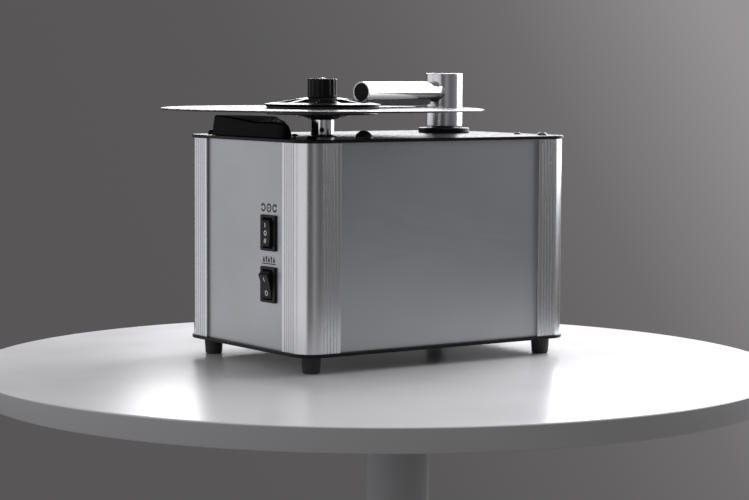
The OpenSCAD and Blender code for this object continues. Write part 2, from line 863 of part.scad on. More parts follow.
module hub_grub_screw() {
  grub_x0 = shaft_d / 2 + run_play;
  grub_len = hub_d / 2 - grub_x0 - 0.5;
  color([0.2, 0.2, 0.2])
  at_spindle(lid_top + grub_z)
    rotate([0, 0, grub_turn]) translate([grub_x0, 0, 0]) rotate([0, 90, 0])
    difference() {
      cylinder(d = grub_d, h = grub_len);
      translate([0, 0, grub_len - 1.6]) cylinder(d = grub_d / 2, h = 1.6 + cut, $fn = 6);
    }
}

module spindle_pin() {
  stub_z = hub_z1 + spigot_h;
  tip = 1.6;
  color([0.85, 0.86, 0.88])
  at_spindle(0) {
    translate([0, 0, stub_z - pin_stub_h + fit_gap]) cylinder(d = pin_stub_d, h = pin_stub_h);
    rotate_extrude()
      polygon([
        [0, stub_z], [pin_d / 2, stub_z], [pin_d / 2, pin_top - tip], [pin_d / 4, pin_top - tip / 4],
        [0, pin_top]
      ]);
  }
}

module platter_disc() {
  hub_r = hub_d / 2 + 1.5;
  rim_z0 = platter_z1 - platter_rim_t;
  round_r = 0.8;
  color([0.09, 0.09, 0.095])
  at_spindle(0)
  difference() {
    rotate_extrude()
      polygon([
        [0, hub_z1], [hub_r, hub_z1], [platter_cone_r, rim_z0 - 0.4],
        [platter_d / 2 - round_r, rim_z0], [platter_d / 2, rim_z0 + round_r],
        [platter_d / 2, platter_z1 - round_r], [platter_d / 2 - round_r, platter_z1], [0, platter_z1]
      ]);
    translate([0, 0, hub_z1 - cut]) cylinder(d = spigot_d + 2 * run_play, h = platter_h + 2 * cut);
  }
}

module platter_mat() {
  color([0.12, 0.12, 0.12])
  at_spindle(platter_z1) ring(platter_d - 2, spigot_d + 1, mat_t);
}

module record() {
  groove_sink = 0.25;
  bead_w = 2.4;
  label_gap = 6;
  edge = 0.4;
  r = record_d / 2;
  run_out = label_d / 2 + label_gap;
  color([0.07, 0.07, 0.08])
  at_spindle(record_z0)
  difference() {
    rotate_extrude($fn = 128)
      polygon([
        [0, 0], [run_out - 1, 0], [run_out, groove_sink], [r - bead_w - 1, groove_sink], [r - bead_w, 0],
        [r - edge, 0], [r, edge], [r, record_t - edge], [r - edge, record_t], [r - bead_w, record_t],
        [r - bead_w - 1, record_t - groove_sink], [run_out, record_t - groove_sink],
        [run_out - 1, record_t], [0, record_t]
      ]);
    translate([0, 0, -cut]) cylinder(d = pin_d + 2 * run_play, h = record_t + 2 * cut);
  }
}

module clamp_seal() {
  color([0.05, 0.05, 0.05])
  at_spindle(record_z1) ring(clamp_d - 2 * clamp_taper - 1, clamp_d - 2 * clamp_taper - 1 - 2 * clamp_seal_w,
    clamp_seal_t);
}

// One arc-shaped window of the clamp disc, cut down from above
module window_cutter(angle) {
  half = 180 / window_n - asin(spoke_w / 2 / ((window_r0 + window_r1) / 2));
  reach = window_r1 + 20;
  rotate([0, 0, angle])
  intersection() {
    difference() {
      cylinder(r = window_r1, h = 20);
      translate([0, 0, -cut]) cylinder(r = window_r0, h = 20 + 2 * cut);
    }
    linear_extrude(20) polygon([[0, 0], polar(reach, -half), polar(reach, half)]);
  }
}

module clamp_disc() {
  rim_r = clamp_d / 2;
  low_r = rim_r - clamp_taper;
  crown = 0.5;
  rim_step = 1.6;
  top_r = knob_d / 2 + 2;
  recess = 1.2;
  color([0.05, 0.05, 0.055])
  at_spindle(clamp_z0)
  difference() {
    rotate_extrude($fn = 96)
      polygon([
        [0, 0], [low_r, 0], [rim_r, clamp_rim_h - crown], [rim_r - crown, clamp_rim_h],
        [rim_r - crown - rim_step, clamp_rim_h + 0.2], [top_r, clamp_rim_h + clamp_rise],
        [0, clamp_rim_h + clamp_rise]
      ]);
    translate([0, 0, -cut]) cylinder(d = pin_d + 2 * run_play, h = clamp_rim_h + clamp_rise + 2 * cut);
    translate([0, 0, -cut]) cylinder(r = low_r - clamp_seal_w - 2, h = recess + cut);
    translate([0, 0, clamp_rim_h + clamp_rise - window_depth - 1.4])
      for (i = [0 : window_n - 1]) window_cutter(i * 360 / window_n);
  }
}

module clamp_knob() {
  chamfer = 0.8;
  color([0.04, 0.04, 0.045])
  at_spindle(knob_z0)
  difference() {
    rotate_extrude()
      polygon([
        [0, 0], [knob_d / 2 - chamfer / 2, 0], [knob_d / 2, chamfer / 2], [knob_d / 2, knob_h - chamfer],
        [knob_d / 2 - chamfer, knob_h], [0, knob_h]
      ]);
    for (i = [0 : flute_n - 1])
      rotate([0, 0, i * 360 / flute_n])
        translate([knob_d / 2 + 2 - flute_depth, 0, 2]) cylinder(r = 2, h = knob_h);
    translate([0, 0, -cut]) cylinder(d = pin_d + 2 * run_play, h = knob_h + 2 * cut);
  }
}

module arm_flange() {
  edge = 0.6;
  color([0.06, 0.06, 0.065])
  translate([post_x, post_y, 0])
  difference() {
    rotate_extrude()
      polygon([
        [0, lid_top], [flange_d / 2, lid_top], [flange_d / 2, flange_z1 - edge],
        [flange_d / 2 - edge, flange_z1], [0, flange_z1]
      ]);
    translate([0, 0, lid_top - cut]) cylinder(d = bush_od + 2 * fit_gap, h = flange_t + 2 * cut);
  }
}

module stem_bush() {
  color([0.75, 0.72, 0.62])
  translate([post_x, post_y, 0])
  difference() {
    union() {
      translate([0, 0, bush_z0]) cylinder(d = bush_od, h = flange_z1 - bush_z0 - fit_gap);
      translate([0, 0, lid_under - bush_shoulder_t]) cylinder(d = bush_shoulder_d, h = bush_shoulder_t);
    }
    translate([0, 0, bush_z0 - cut]) cylinder(d = bush_id, h = flange_z1 - bush_z0 + 2 * cut);
  }
}

// Points of the lift spring: a helix whose first and last turns lie flat
spring_steps = 14;
function spring_flat(t) = t < 1 ? 0 : t > spring_n - 1 ? 1 : (t - 1) / (spring_n - 2);
function spring_rise(t) =
  let (h = spring_z1 - spring_z0 - 2 * spring_seat - spring_wire, end_rise = spring_wire * 1.15)
  min(t, 1) * end_rise + spring_flat(t) * (h - 2 * end_rise) + max(t - spring_n + 1, 0) * end_rise;
spring_seat = 0.3;

module lift_spring() {
  n = spring_n * spring_steps;
  sides = 6;
  ring_pts = [
    for (i = [0 : n], k = [0 : sides - 1])
      let (
        t = i / spring_steps,
        a = t * 360,
        b = k * 360 / sides,
        r = spring_r + spring_wire / 2 * cos(b),
        z = spring_z0 + spring_seat + spring_wire / 2 + spring_rise(t) + spring_wire / 2 * sin(b)
      )
      [r * cos(a), r * sin(a), z]
  ];
  walls = [
    for (i = [0 : n - 1], k = [0 : sides - 1])
      let (a = i * sides + k, b = i * sides + (k + 1) % sides)
      each [[a, a + sides, b], [b, a + sides, b + sides]]
  ];
  ends = [[for (k = [0 : sides - 1]) k], [for (k = [sides - 1 : -1 : 0]) n * sides + k]];
  color([0.7, 0.7, 0.7])
  translate([post_x, post_y, 0]) polyhedron(ring_pts, concat(walls, ends), convexity = 6);
}

module arm_stem() {
  color([0.07, 0.07, 0.075])
  difference() {
    translate([post_x, post_y, 0]) {
      translate([0, 0, stem_z0]) cylinder(d = stem_d, h = post_z1 - post_cap_t - fit_gap - stem_z0);
      translate([0, 0, stem_collar_z0]) cylinder(d = stem_collar_d, h = stem_collar_t);
      translate([0, 0, post_z0]) cylinder(d = stem_socket_d, h = post_z1 - post_cap_t - fit_gap - post_z0);
    }
    translate([post_x, post_y, stem_z0 - cut]) cylinder(d = stem_bore, h = tube_axis_z - stem_z0 + cut);
    along_arm() translate([-stem_bore / 4, 0, tube_axis_z])
      rotate([0, 90, 0]) cylinder(d = duct_bore, h = post_d);
  }
}

module arm_post() {
  edge = 0.5;
  color([0.8, 0.81, 0.83])
  difference() {
    translate([post_x, post_y, 0])
    rotate_extrude()
      polygon([
        [0, post_z0], [post_d / 2 - edge, post_z0], [post_d / 2, post_z0 + edge],
        [post_d / 2, post_z1 - edge], [post_d / 2 - edge, post_z1], [0, post_z1]
      ]);
    translate([post_x, post_y, post_z0 - cut])
      cylinder(d = post_d - 2 * post_wall, h = post_z1 - post_z0 + 2 * cut);
    along_arm() translate([0, 0, tube_axis_z]) rotate([0, 90, 0]) cylinder(d = duct_bore, h = post_d);
  }
}

module post_cap() {
  color([0.78, 0.79, 0.81])
  translate([post_x, post_y, post_z1 - post_cap_t])
    cylinder(d = post_d - 2 * post_wall - 2 * run_play, h = post_cap_t - 0.2);
}

module arm_tube() {
  start = post_d / 2 - 1;
  color([0.85, 0.86, 0.88])
  difference() {
    along_arm() translate([start, 0, tube_axis_z]) rotate([0, 90, 0])
    difference() {
      cylinder(d = tube_d, h = arm_len - start);
      translate([0, 0, -cut]) cylinder(d = duct_bore, h = arm_len + 2 * cut);
    }
    translate([post_x, post_y, post_z0]) cylinder(d = post_d + 2 * run_play, h = post_top);
    along_arm() translate([slot_start, -slot_w / 2, tube_axis_z - tube_d])
      cube([slot_len, slot_w, tube_d]);
  }
}

module arm_collar() {
  start = post_d / 2 - 1;
  color([0.12, 0.12, 0.13])
  difference() {
    along_arm() translate([0, 0, tube_axis_z]) rotate([0, 90, 0])
    difference() {
      translate([0, 0, start]) cylinder(d = collar_d, h = 1 + collar_len);
      cylinder(d = tube_d + 2 * run_play, h = arm_len);
    }
    translate([post_x, post_y, post_z0]) cylinder(d = post_d + 2 * run_play, h = post_top);
  }
}

module arm_end_cap() {
  color([0.05, 0.05, 0.05])
  along_arm() translate([arm_len - arm_cap_t - arm_cap_recess, 0, tube_axis_z]) rotate([0, 90, 0])
    cylinder(d = duct_bore - 2 * run_play, h = arm_cap_t);
}

module velvet_pads() {
  color([0.06, 0.06, 0.07])
  along_arm()
  for (s = [-1, 1])
    difference() {
      translate([velvet_start, s > 0 ? slot_w / 2 - 0.5 : -slot_w / 2 + 0.5 - velvet_w, velvet_z0])
        cube([velvet_end - velvet_start, velvet_w, tube_axis_z - velvet_z0 - tube_d / 4]);
      translate([0, 0, tube_axis_z])
        rotate([0, 90, 0]) cylinder(d = tube_d + 2 * run_play, h = arm_len + cut);
    }
}

// Outline of the hood at one place along X: front height, rear height, how far both sides draw in,
// how far the outline's top leans to the right and how far the rear side alone comes forward
function hood_ring(x, hf, hr, draw, tip, back) =
  let (
    y0 = hood_y0 + draw, y1 = hood_y1 - draw - back, c = min(hood_round, hf / 2), lean = hf * 0.06,
    k = tip / hood_h
  )
  [
    [x, y0, 0], [x + k * (hf - c), y0 + lean, hf - c],
    [x + k * (hf - c * 0.3), y0 + lean + c * 0.3, hf - c * 0.3], [x + k * hf, y0 + lean + c, hf],
    [x + k * hr, y1 - c, hr], [x + k * (hr - c * 0.3), y1 - c * 0.3, hr - c * 0.3],
    [x + k * (hr - c), y1, hr - c], [x, y1, 0]
  ];

module hood_loft(rings) {
  m = len(rings[0]);
  n = len(rings);
  walls = [
    for (i = [0 : n - 2], k = [0 : m - 1])
      let (a = i * m + k, b = i * m + (k + 1) % m)
      each [[a, b, a + m], [b, b + m, a + m]]
  ];
  ends = [[for (k = [m - 1 : -1 : 0]) k], [for (k = [0 : m - 1]) (n - 1) * m + k]];
  polyhedron([for (r = rings) each r], concat(walls, ends), convexity = 4);
}

// Stations of the hood from its left end: offset, front height, rear height, draw-in, lean, rear trim
function hood_stations() = [
  [0, hood_h - 1.2, hood_h - 1.2, 0.8, hood_lean, 0], [1.6, hood_h, hood_h, 0, hood_lean, 0],
  [hood_lean + 17, hood_h, hood_h, 0, 0, 0], [hood_len * 0.58, hood_low_h, hood_h, 0, 0, 0],
  [hood_len - hood_fall, hood_low_h, hood_under_h, 0, 0, hood_back * 0.29],
  [hood_len - hood_fall / 2, hood_low_h, hood_under_h * 0.9, 0, 0, hood_back * 0.69],
  [hood_len - 7, hood_low_h * 0.98, hood_under_h * 0.7, 0, 0, hood_back * 0.94],
  [hood_len - 2, hood_low_h * 0.94, hood_under_h * 0.48, 0.4, 0, hood_back],
  [hood_len, hood_low_h * 0.8, hood_under_h * 0.32, 1.6, 0, hood_back * 0.95]
];

module exhaust_hood() {
  stations = hood_stations();
  outer = [for (s = stations) hood_ring(hood_x0 + s[0], s[1], s[2], s[3], s[4], s[5])];
  inner_x = hood_len - hood_fall - hood_wall * 3;
  w = hood_wall;
  inner = [
    for (s = [
      [w + hood_lean, hood_h, hood_h], [hood_lean + 17, hood_h, hood_h],
      [hood_len * 0.58, hood_low_h, hood_h], [inner_x, hood_low_h, hood_under_h]
    ])
      [
        [hood_x0 + s[0], hood_y0 + w + 1, -cut], [hood_x0 + s[0], hood_y0 + w + 1, s[1] - w],
        [hood_x0 + s[0], hood_y1 + cut, s[2] - w], [hood_x0 + s[0], hood_y1 + cut, -cut]
      ]
  ];
  color([0.05, 0.05, 0.055])
  translate([0, 0, lid_top]) {
    difference() {
      hood_loft(outer);
      hood_loft(inner);
    }
    for (side = [-1, 1]) hood_tab(side);
  }
}

// Screw tab at the hood's left (side -1) or right (side 1) end; the left one lies under a corner screw
module hood_tab(side) {
  place = tab_places[side > 0 ? 1 : 0];
  hole_d = (side > 0 ? small_screw_d : screw_d) + 2 * fit_gap;
  root = side > 0 ? 12 : 3;
  reach = side > 0 ? place[0] - hood_x1 + root : hood_x0 + root - place[0];
  difference() {
    translate([place[0], place[1], 0]) {
      cylinder(d = tab_d, h = tab_t);
      translate([side > 0 ? -reach : 0, -tab_d / 2, 0]) cube([reach, tab_d, tab_t]);
    }
    translate([place[0], place[1], -cut]) cylinder(d = hole_d, h = tab_t + 2 * cut);
  }
}

module exhaust_duct() {
  flange = 3;
  flange_t = 1.5;
  color([0.1, 0.1, 0.1])
  translate([vent_x, vent_y, duct_z0])
  difference() {
    union() {
      translate([-vent_w / 2 - duct_wall, -vent_d / 2 - duct_wall, 0])
        cube([vent_w + 2 * duct_wall, vent_d + 2 * duct_wall, lid_under - duct_z0]);
      translate([-vent_w / 2 - flange, -vent_d / 2 - duct_wall, 0])
        cube([vent_w + 2 * flange, vent_d + 2 * duct_wall, flange_t]);
    }
    translate([-vent_w / 2, -vent_d / 2, -cut]) cube([vent_w, vent_d, lid_under - duct_z0 + 2 * cut]);
  }
}

module motor_box() {
  color([0.12, 0.12, 0.12])
  translate([vacuum_x, vacuum_y, base_top])
  difference() {
    linear_extrude(box_h) rounded_rect(2 * box_half_w, 2 * box_half_d, 6);
    translate([0, 0, -cut])
      linear_extrude(box_h - box_wall + cut)
        rounded_rect(2 * (box_half_w - box_wall), 2 * (box_half_d - box_wall), 3);
    translate([0, 0, box_h - box_wall - cut]) cylinder(d = neck_od + 2 * fit_gap, h = box_wall + 2 * cut);
    translate([vent_x - vacuum_x - vent_w / 2, vent_y - vacuum_y - vent_d / 2, box_h - box_wall - cut])
      cube([vent_w, vent_d, box_wall + 2 * cut]);
  }
}

module at_vacuum(z) {
  translate([vacuum_x, vacuum_y, z]) children();
}

module vacuum_motor() {
  rib_n = 8;
  color([0.3, 0.3, 0.32]) {
    at_vacuum(base_top) cylinder(d = vacuum_d - 2 * vacuum_pad_step, h = vacuum_pad_h);
    at_vacuum(vacuum_z0) {
      difference() {
        cylinder(d = vacuum_d, h = fan_z0 - vacuum_z0);
        for (i = [0 : rib_n - 1])
          rotate([0, 0, i * 360 / rib_n]) translate([vacuum_d / 2, 0, 8])
            cylinder(d = 8, h = fan_z0 - vacuum_z0 - 16);
        translate([0, 0, fan_z0 - vacuum_z0 - 10]) cylinder(d = fan_shaft_d + 2 * run_play, h = 10 + cut);
      }
    }
  }
}

module fan_cover() {
  color([0.5, 0.5, 0.52])
  at_vacuum(fan_z0)
  difference() {
    union() {
      cylinder(d = fan_cover_d, h = fan_cover_h);
      cylinder(d = neck_od, h = fan_cover_h + box_wall + neck_h);
    }
    translate([0, 0, fan_wall]) cylinder(d = fan_cover_d - 2 * fan_wall, h = fan_cover_h - 2 * fan_wall);
    translate([0, 0, -cut]) cylinder(d = fan_shaft_d + 2 * move_gap, h = fan_wall + 2 * cut);
    translate([0, 0, fan_cover_h - fan_wall - cut])
      cylinder(d = neck_id, h = box_wall + neck_h + fan_cover_h);
    for (i = [0 : outlet_n - 1])
      rotate([0, 0, (i + 0.5) * 360 / outlet_n])
        translate([fan_cover_d / 2 - 2 * fan_wall, -outlet_w / 2, fan_wall])
          cube([4 * fan_wall, outlet_w, outlet_h]);
  }
}

module fan_impeller() {
  blade_t = 1.4;
  color([0.7, 0.71, 0.72])
  at_vacuum(fan_z0) {
    translate([0, 0, -8]) cylinder(d = fan_shaft_d, h = 8 + fan_wall + fan_lift);
    translate([0, 0, fan_wall + fan_lift]) {
      cylinder(d = fan_d, h = fan_disc_t);
      cylinder(d = 18, h = fan_h * 0.7);
      intersection() {
        cylinder(d = fan_d, h = fan_h);
        for (i = [0 : blade_n - 1])
          rotate([0, 0, i * 360 / blade_n])
            translate([fan_d * 0.27, fan_d * 0.12, 0])
              ring_arc(fan_d * 0.3, blade_t, fan_h);
      }
    }
  }
}

// Half of a thin upright ring: one curved blade
module ring_arc(r, t, h) {
  difference() {
    cylinder(r = r, h = h);
    translate([0, 0, -cut]) cylinder(r = r - t, h = h + 2 * cut);
    translate([-2 * r, -2 * r, -cut]) cube([4 * r, 2 * r, h + 2 * cut]);
    translate([-2 * r, -cut, -cut]) cube([2 * r, 2 * r, h + 2 * cut]);
  }
}

module waste_tank() {
  corner_r = 8;
  color([0.85, 0.86, 0.84])
  translate([0, tank_yc, base_top])
  difference() {
    linear_extrude(tank_h) rounded_rect(tank_w, tank_d, corner_r);
    translate([0, 0, tank_wall])
      linear_extrude(tank_h)
        rounded_rect(tank_w - 2 * tank_wall, tank_d - 2 * tank_wall, corner_r - tank_wall);
    translate([spout_x, tank_d / 2 - tank_wall - cut, spout_z - base_top])
      rotate([-90, 0, 0]) cylinder(d = spout_d + 2 * fit_gap, h = tank_wall + 2 * cut);
  }
}

module tank_lid() {
  corner_r = 8;
  lip_in = tank_wall + fit_gap;
  color([0.2, 0.2, 0.21])
  translate([0, tank_yc, tank_top])
  difference() {
    union() {
      linear_extrude(tank_lid_t) rounded_rect(tank_w, tank_d, corner_r);
      translate([0, 0, -tank_lid_lip])
        linear_extrude(tank_lid_lip)
          rounded_rect(tank_w - 2 * lip_in, tank_d - 2 * lip_in, corner_r - tank_wall);
      translate([hose_x, hose_y1 - tank_yc, 0]) cylinder(d = neck_od, h = hose_z - tank_top - 1);
    }
    translate([post_x, post_y - tank_yc, -tank_lid_lip - cut])
      cylinder(d = grommet_d, h = tank_lid_t + tank_lid_lip + 2 * cut);
    translate([hose_x, hose_y1 - tank_yc, -tank_lid_lip - cut])
      cylinder(d = neck_id, h = tank_lid_lip + hose_z - tank_top + neck_h + 2 * cut);
  }
}

// Sheet hanger that holds the tank's rear edge down from the top plate
module tank_hanger() {
  top_y = hanger_screw_y + small_head_d / 2 + 1;
  color([0.7, 0.7, 0.72])
  difference() {
    union() {
      translate([-hanger_w / 2, hanger_y, tank_top + tank_lid_t])
        cube([hanger_w, hanger_t, lid_under - tank_top - tank_lid_t]);
      translate([-hanger_w / 2, hanger_y, lid_under - hanger_t])
        cube([hanger_w, top_y - hanger_y, hanger_t]);
      for (x = [-hanger_w / 2, hanger_w / 2 - hanger_foot_w])
        translate([x, hanger_y - hanger_flange + hanger_t, tank_top + tank_lid_t])
          cube([hanger_foot_w, hanger_flange, hanger_t]);
    }
    for (s = [-1, 1])
      translate([s * hanger_screw_x, hanger_screw_y, lid_under - hanger_t - cut])
        cylinder(d = small_screw_d + 2 * run_play, h = hanger_t + 2 * cut);
  }
}

module suction_hose() {
  drop0 = hose_z - box_z1 - fit_gap;
  drop1 = hose_z - lid_port_z - fit_gap;
  color([0.08, 0.08, 0.08]) {
    translate([hose_x, hose_mid_y, hose_z])
      rotate([90, 0, 90])
        rotate_extrude(angle = 180) translate([hose_bend_r, 0]) difference() {
          circle(d = hose_d);
          circle(d = hose_d - 2 * hose_wall);
        }
    translate([hose_x, hose_y0, hose_z - drop0]) ring(hose_d, hose_d - 2 * hose_wall, drop0);
    translate([hose_x, hose_y1, hose_z - drop1]) ring(hose_d, hose_d - 2 * hose_wall, drop1);
  }
}

module power_inlet() {
  color([0.06, 0.06, 0.06])
  translate([inlet_x, rear_face_y, inlet_z])
  difference() {
    union() {
      difference() {
        union() {
          rotate([-90, 0, 0]) linear_extrude(inlet_flange_t)
            rounded_rect(inlet_flange_w, inlet_flange_h, 5);
          translate([-inlet_w / 2, -inlet_deep, -inlet_h / 2]) cube([inlet_w, inlet_deep + 1, inlet_h]);
        }
        translate([-inlet_cavity_w / 2, inlet_flange_t - inlet_cavity_deep, -inlet_cavity_h / 2])
          cube([inlet_cavity_w, inlet_cavity_deep + cut, inlet_cavity_h]);
      }
      for (i = [-1, 0, 1])
        translate([i * inlet_pin_gap - inlet_pin_t / 2, inlet_flange_t - inlet_cavity_deep - cut,
          (i == 0 ? 1 : -1) - inlet_pin_w / 2])
          cube([inlet_pin_t, inlet_pin_len + cut, inlet_pin_w]);
    }
    for (s = [-1, 1])
      translate([s * inlet_screw_gap / 2, -cut, 0])
        rotate([-90, 0, 0]) cylinder(d = inlet_screw_d + 2 * fit_gap, h = inlet_flange_t + 2 * cut);
  }
}

module drain_spout() {
  inner_y = body_d / 2 - tank_rear_gap - tank_wall - spout_flange_t;
  color([0.15, 0.15, 0.16])
  translate([spout_x, inner_y, spout_z])
    rotate([-90, 0, 0])
    difference() {
      union() {
        cylinder(d = spout_d, h = spout_y1 - inner_y);
        cylinder(d = spout_flange_d, h = spout_flange_t);
      }
      translate([0, 0, -cut]) cylinder(d = spout_d - 2 * spout_wall, h = spout_y1 - inner_y + 2 * cut);
    }
}

module drain_cap() {
  grip_n = 12;
  d_out = spout_d + 2 * run_play + 2 * cap_wall;
  color([0.7, 0.1, 0.08])
  translate([spout_x, spout_y1 - cap_len, spout_z])
    rotate([-90, 0, 0])
    difference() {
      cylinder(d = d_out, h = cap_len + cap_wall + fit_gap);
      translate([0, 0, -cut]) cylinder(d = spout_d + 2 * run_play, h = cap_len + fit_gap + cut);
      for (i = [0 : grip_n - 1])
        rotate([0, 0, i * 360 / grip_n]) translate([d_out / 2 + 0.6, 0, -cut])
          cylinder(r = 1, h = cap_len + cap_wall + 3);
    }
}

// Each wire runs along a few corner points and is swept as one closed tube
wire_d = 2.6;
wire_sides = 8;
wire_turn = 5;
wire_ref = [0.27, 0.53, 0.8];
wire_gap = 4;
terminal_y = front_face_y + switch_deep + terminal_len + fit_gap;
behind_y = terminal_y + 6;
left_run_x = -body_w / 2 + 22;
riser_x = -body_w / 2 + 40;
turn_x = -body_w / 2 + 34;
turn_y = -body_d / 2 + 55;
front_run_y = -body_d / 2 + 15;
over_tank_z = tank_top + tank_lid_t + 7;
over_switch_z = motor_switch_z + 24;
inlet_side_x = inlet_x - inlet_w / 2 - fit_gap;
inlet_wire_y = rear_face_y - 13;
wires = [
  // Mains to the motor switch
  [
    [inlet_side_x, inlet_wire_y, inlet_z + 3], [riser_x, inlet_wire_y, inlet_z + 3],
    [riser_x, inlet_wire_y, over_tank_z], [left_run_x, inlet_wire_y - 26, over_tank_z],
    [left_run_x, turn_y, over_tank_z], [turn_x, front_run_y, over_switch_z],
    [switch_x, front_run_y, over_switch_z], [switch_x, behind_y, over_switch_z],
    [switch_x, behind_y, motor_switch_z + terminal_rise],
    [switch_x, terminal_y, motor_switch_z + terminal_rise]
  ],
  // Mains to the vacuum switch
  [
    [inlet_side_x, inlet_wire_y + wire_gap, inlet_z - 4],
    [riser_x - wire_gap, inlet_wire_y + wire_gap, inlet_z - 4],
    [riser_x - wire_gap, inlet_wire_y + wire_gap, over_tank_z + wire_gap],
    [left_run_x - wire_gap, inlet_wire_y - 26, over_tank_z + wire_gap],
    [left_run_x - wire_gap, turn_y, over_tank_z + wire_gap],
    [turn_x - wire_gap, front_run_y - wire_gap, over_switch_z + wire_gap],
    [switch_x + 20, front_run_y - wire_gap, over_switch_z + wire_gap],
    [switch_x + 20, behind_y, over_switch_z - 20], [switch_x + 20, behind_y, vacuum_switch_z],
    [switch_x, behind_y, vacuum_switch_z], [switch_x, terminal_y, vacuum_switch_z]
  ],
  // Motor switch to the drive motor
  [
    [switch_x, terminal_y, motor_switch_z - terminal_rise],
    [switch_x, behind_y, motor_switch_z - terminal_rise],
    [switch_x, behind_y + 2, bracket_z - gearbox_h - motor_h - 14],
    [spindle_x + 6, spindle_y, bracket_z - gearbox_h - motor_h - 14],
    [spindle_x + 6, spindle_y, bracket_z - gearbox_h - motor_h - 3 - fit_gap]
  ],
  // Vacuum switch to the vacuum motor's box
  [
    [switch_x, terminal_y, vacuum_switch_z + terminal_rise],
    [switch_x, behind_y, vacuum_switch_z + terminal_rise],
    [switch_x, vacuum_y - 10, vacuum_switch_z - 14],
    [vacuum_x + box_half_w + fit_gap, vacuum_y - 10, vacuum_switch_z - 14]
  ]
];

function unit(v) = v / norm(v);
function bend_point(a, b, c, t) =
  let (p = b + unit(a - b) * wire_turn, q = b + unit(c - b) * wire_turn)
  (1 - t) * (1 - t) * p + 2 * t * (1 - t) * b + t * t * q;
function wire_path(pts) = [
  pts[0],
  for (i = [1 : len(pts) - 2], t = [0, 0.33, 0.67, 1]) bend_point(pts[i - 1], pts[i], pts[i + 1], t),
  pts[len(pts) - 1]
];

module wire(pts) {
  path = wire_path(pts);
  n = len(path);
  ring_pts = [
    for (i = [0 : n - 1])
      let (
        d = unit(path[min(i + 1, n - 1)] - path[max(i - 1, 0)]),
        side = unit(cross(wire_ref, d)),
        up = cross(d, side)
      )
      for (k = [0 : wire_sides - 1])
        let (a = k * 360 / wire_sides)
        path[i] + wire_d / 2 * (cos(a) * side + sin(a) * up)
  ];
  walls = [
    for (i = [0 : n - 2], k = [0 : wire_sides - 1])
      let (a = i * wire_sides + k, b = i * wire_sides + (k + 1) % wire_sides)
      each [[a, a + wire_sides, b], [b, a + wire_sides, b + wire_sides]]
  ];
  ends = [
    [for (k = [0 : wire_sides - 1]) k],
    [for (k = [wire_sides - 1 : -1 : 0]) (n - 1) * wire_sides + k]
  ];
  polyhedron(ring_pts, concat(walls, ends), convexity = 6);
}

module wiring() {
  color([0.5, 0.08, 0.06]) for (w = wires) wire(w);
}

top_plate();
bottom_plate();
corner_profile_front_right();
corner_profile_front_left();
corner_profile_rear_left();
corner_profile_rear_right();
switch_panel();
right_panel();
left_panel();
rear_panel();
foot_front_right();
foot_front_left();
foot_rear_left();
foot_rear_right();
foot_screws();
plate_screws();
access_plug();
motor_switch_housing();
motor_rocker();
vacuum_switch_housing();
vacuum_rocker();
spindle_motor();
motor_gearbox();
motor_bracket();
motor_shaft();
spindle_bush();
spindle_hub();
hub_grub_screw();
spindle_pin();
platter_disc();
platter_mat();
record();
clamp_seal();
clamp_disc();
clamp_knob();
arm_flange();
stem_bush();
lift_spring();
arm_stem();
arm_post();
post_cap();
arm_tube();
arm_collar();
arm_end_cap();
velvet_pads();
exhaust_hood();
exhaust_duct();
motor_box();
vacuum_motor();
fan_cover();
fan_impeller();
waste_tank();
tank_lid();
tank_hanger();
suction_hose();
power_inlet();
drain_spout();
drain_cap();
wiring();
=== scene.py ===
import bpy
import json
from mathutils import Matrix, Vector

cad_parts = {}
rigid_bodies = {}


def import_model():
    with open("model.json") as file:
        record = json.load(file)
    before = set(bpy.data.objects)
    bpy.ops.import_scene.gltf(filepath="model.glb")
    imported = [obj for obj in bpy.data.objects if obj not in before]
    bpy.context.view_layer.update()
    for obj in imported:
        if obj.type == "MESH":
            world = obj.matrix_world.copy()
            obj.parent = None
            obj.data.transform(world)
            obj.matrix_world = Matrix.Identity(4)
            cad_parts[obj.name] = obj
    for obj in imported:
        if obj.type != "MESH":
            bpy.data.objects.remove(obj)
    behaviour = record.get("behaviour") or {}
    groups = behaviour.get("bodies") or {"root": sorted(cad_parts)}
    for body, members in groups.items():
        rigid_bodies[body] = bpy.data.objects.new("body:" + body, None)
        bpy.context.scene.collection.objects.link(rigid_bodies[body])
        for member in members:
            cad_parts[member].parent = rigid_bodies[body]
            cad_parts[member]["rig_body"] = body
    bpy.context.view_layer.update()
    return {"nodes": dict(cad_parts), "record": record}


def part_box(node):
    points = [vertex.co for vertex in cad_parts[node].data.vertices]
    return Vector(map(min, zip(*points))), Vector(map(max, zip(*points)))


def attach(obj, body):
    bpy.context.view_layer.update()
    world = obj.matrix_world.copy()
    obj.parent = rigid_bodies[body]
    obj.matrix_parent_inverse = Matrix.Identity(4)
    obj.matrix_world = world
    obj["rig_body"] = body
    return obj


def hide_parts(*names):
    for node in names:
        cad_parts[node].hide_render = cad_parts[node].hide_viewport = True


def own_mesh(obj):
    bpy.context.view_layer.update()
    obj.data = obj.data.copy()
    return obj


bl_info = {
    "name": "Record Cleaning Machine",
    "version": (1, 0, 0),
    "blender": (4, 5, 0),
    "location": "View3D > Sidebar > Record Cleaner",
    "description": "Dresses a record cleaning machine: case, switches, clamp, arm and hood",
    "category": "Object",
}

import json
import math
import random

import bmesh
import bpy
from bpy.props import FloatProperty, FloatVectorProperty, IntProperty, PointerProperty
from mathutils import Matrix, Vector

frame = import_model()

MM = 0.001
SLOTS = {part["node"]: part["material_slot"] for part in frame["record"]["subparts"]}
PAINTS = {entry["slot"]: entry["base_color"] for entry in frame["record"]["materials"]}


def middle(node):
    low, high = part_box(node)
    return (low + high) / 2 / MM


def low_of(node):
    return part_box(node)[0] / MM


def high_of(node):
    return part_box(node)[1] / MM


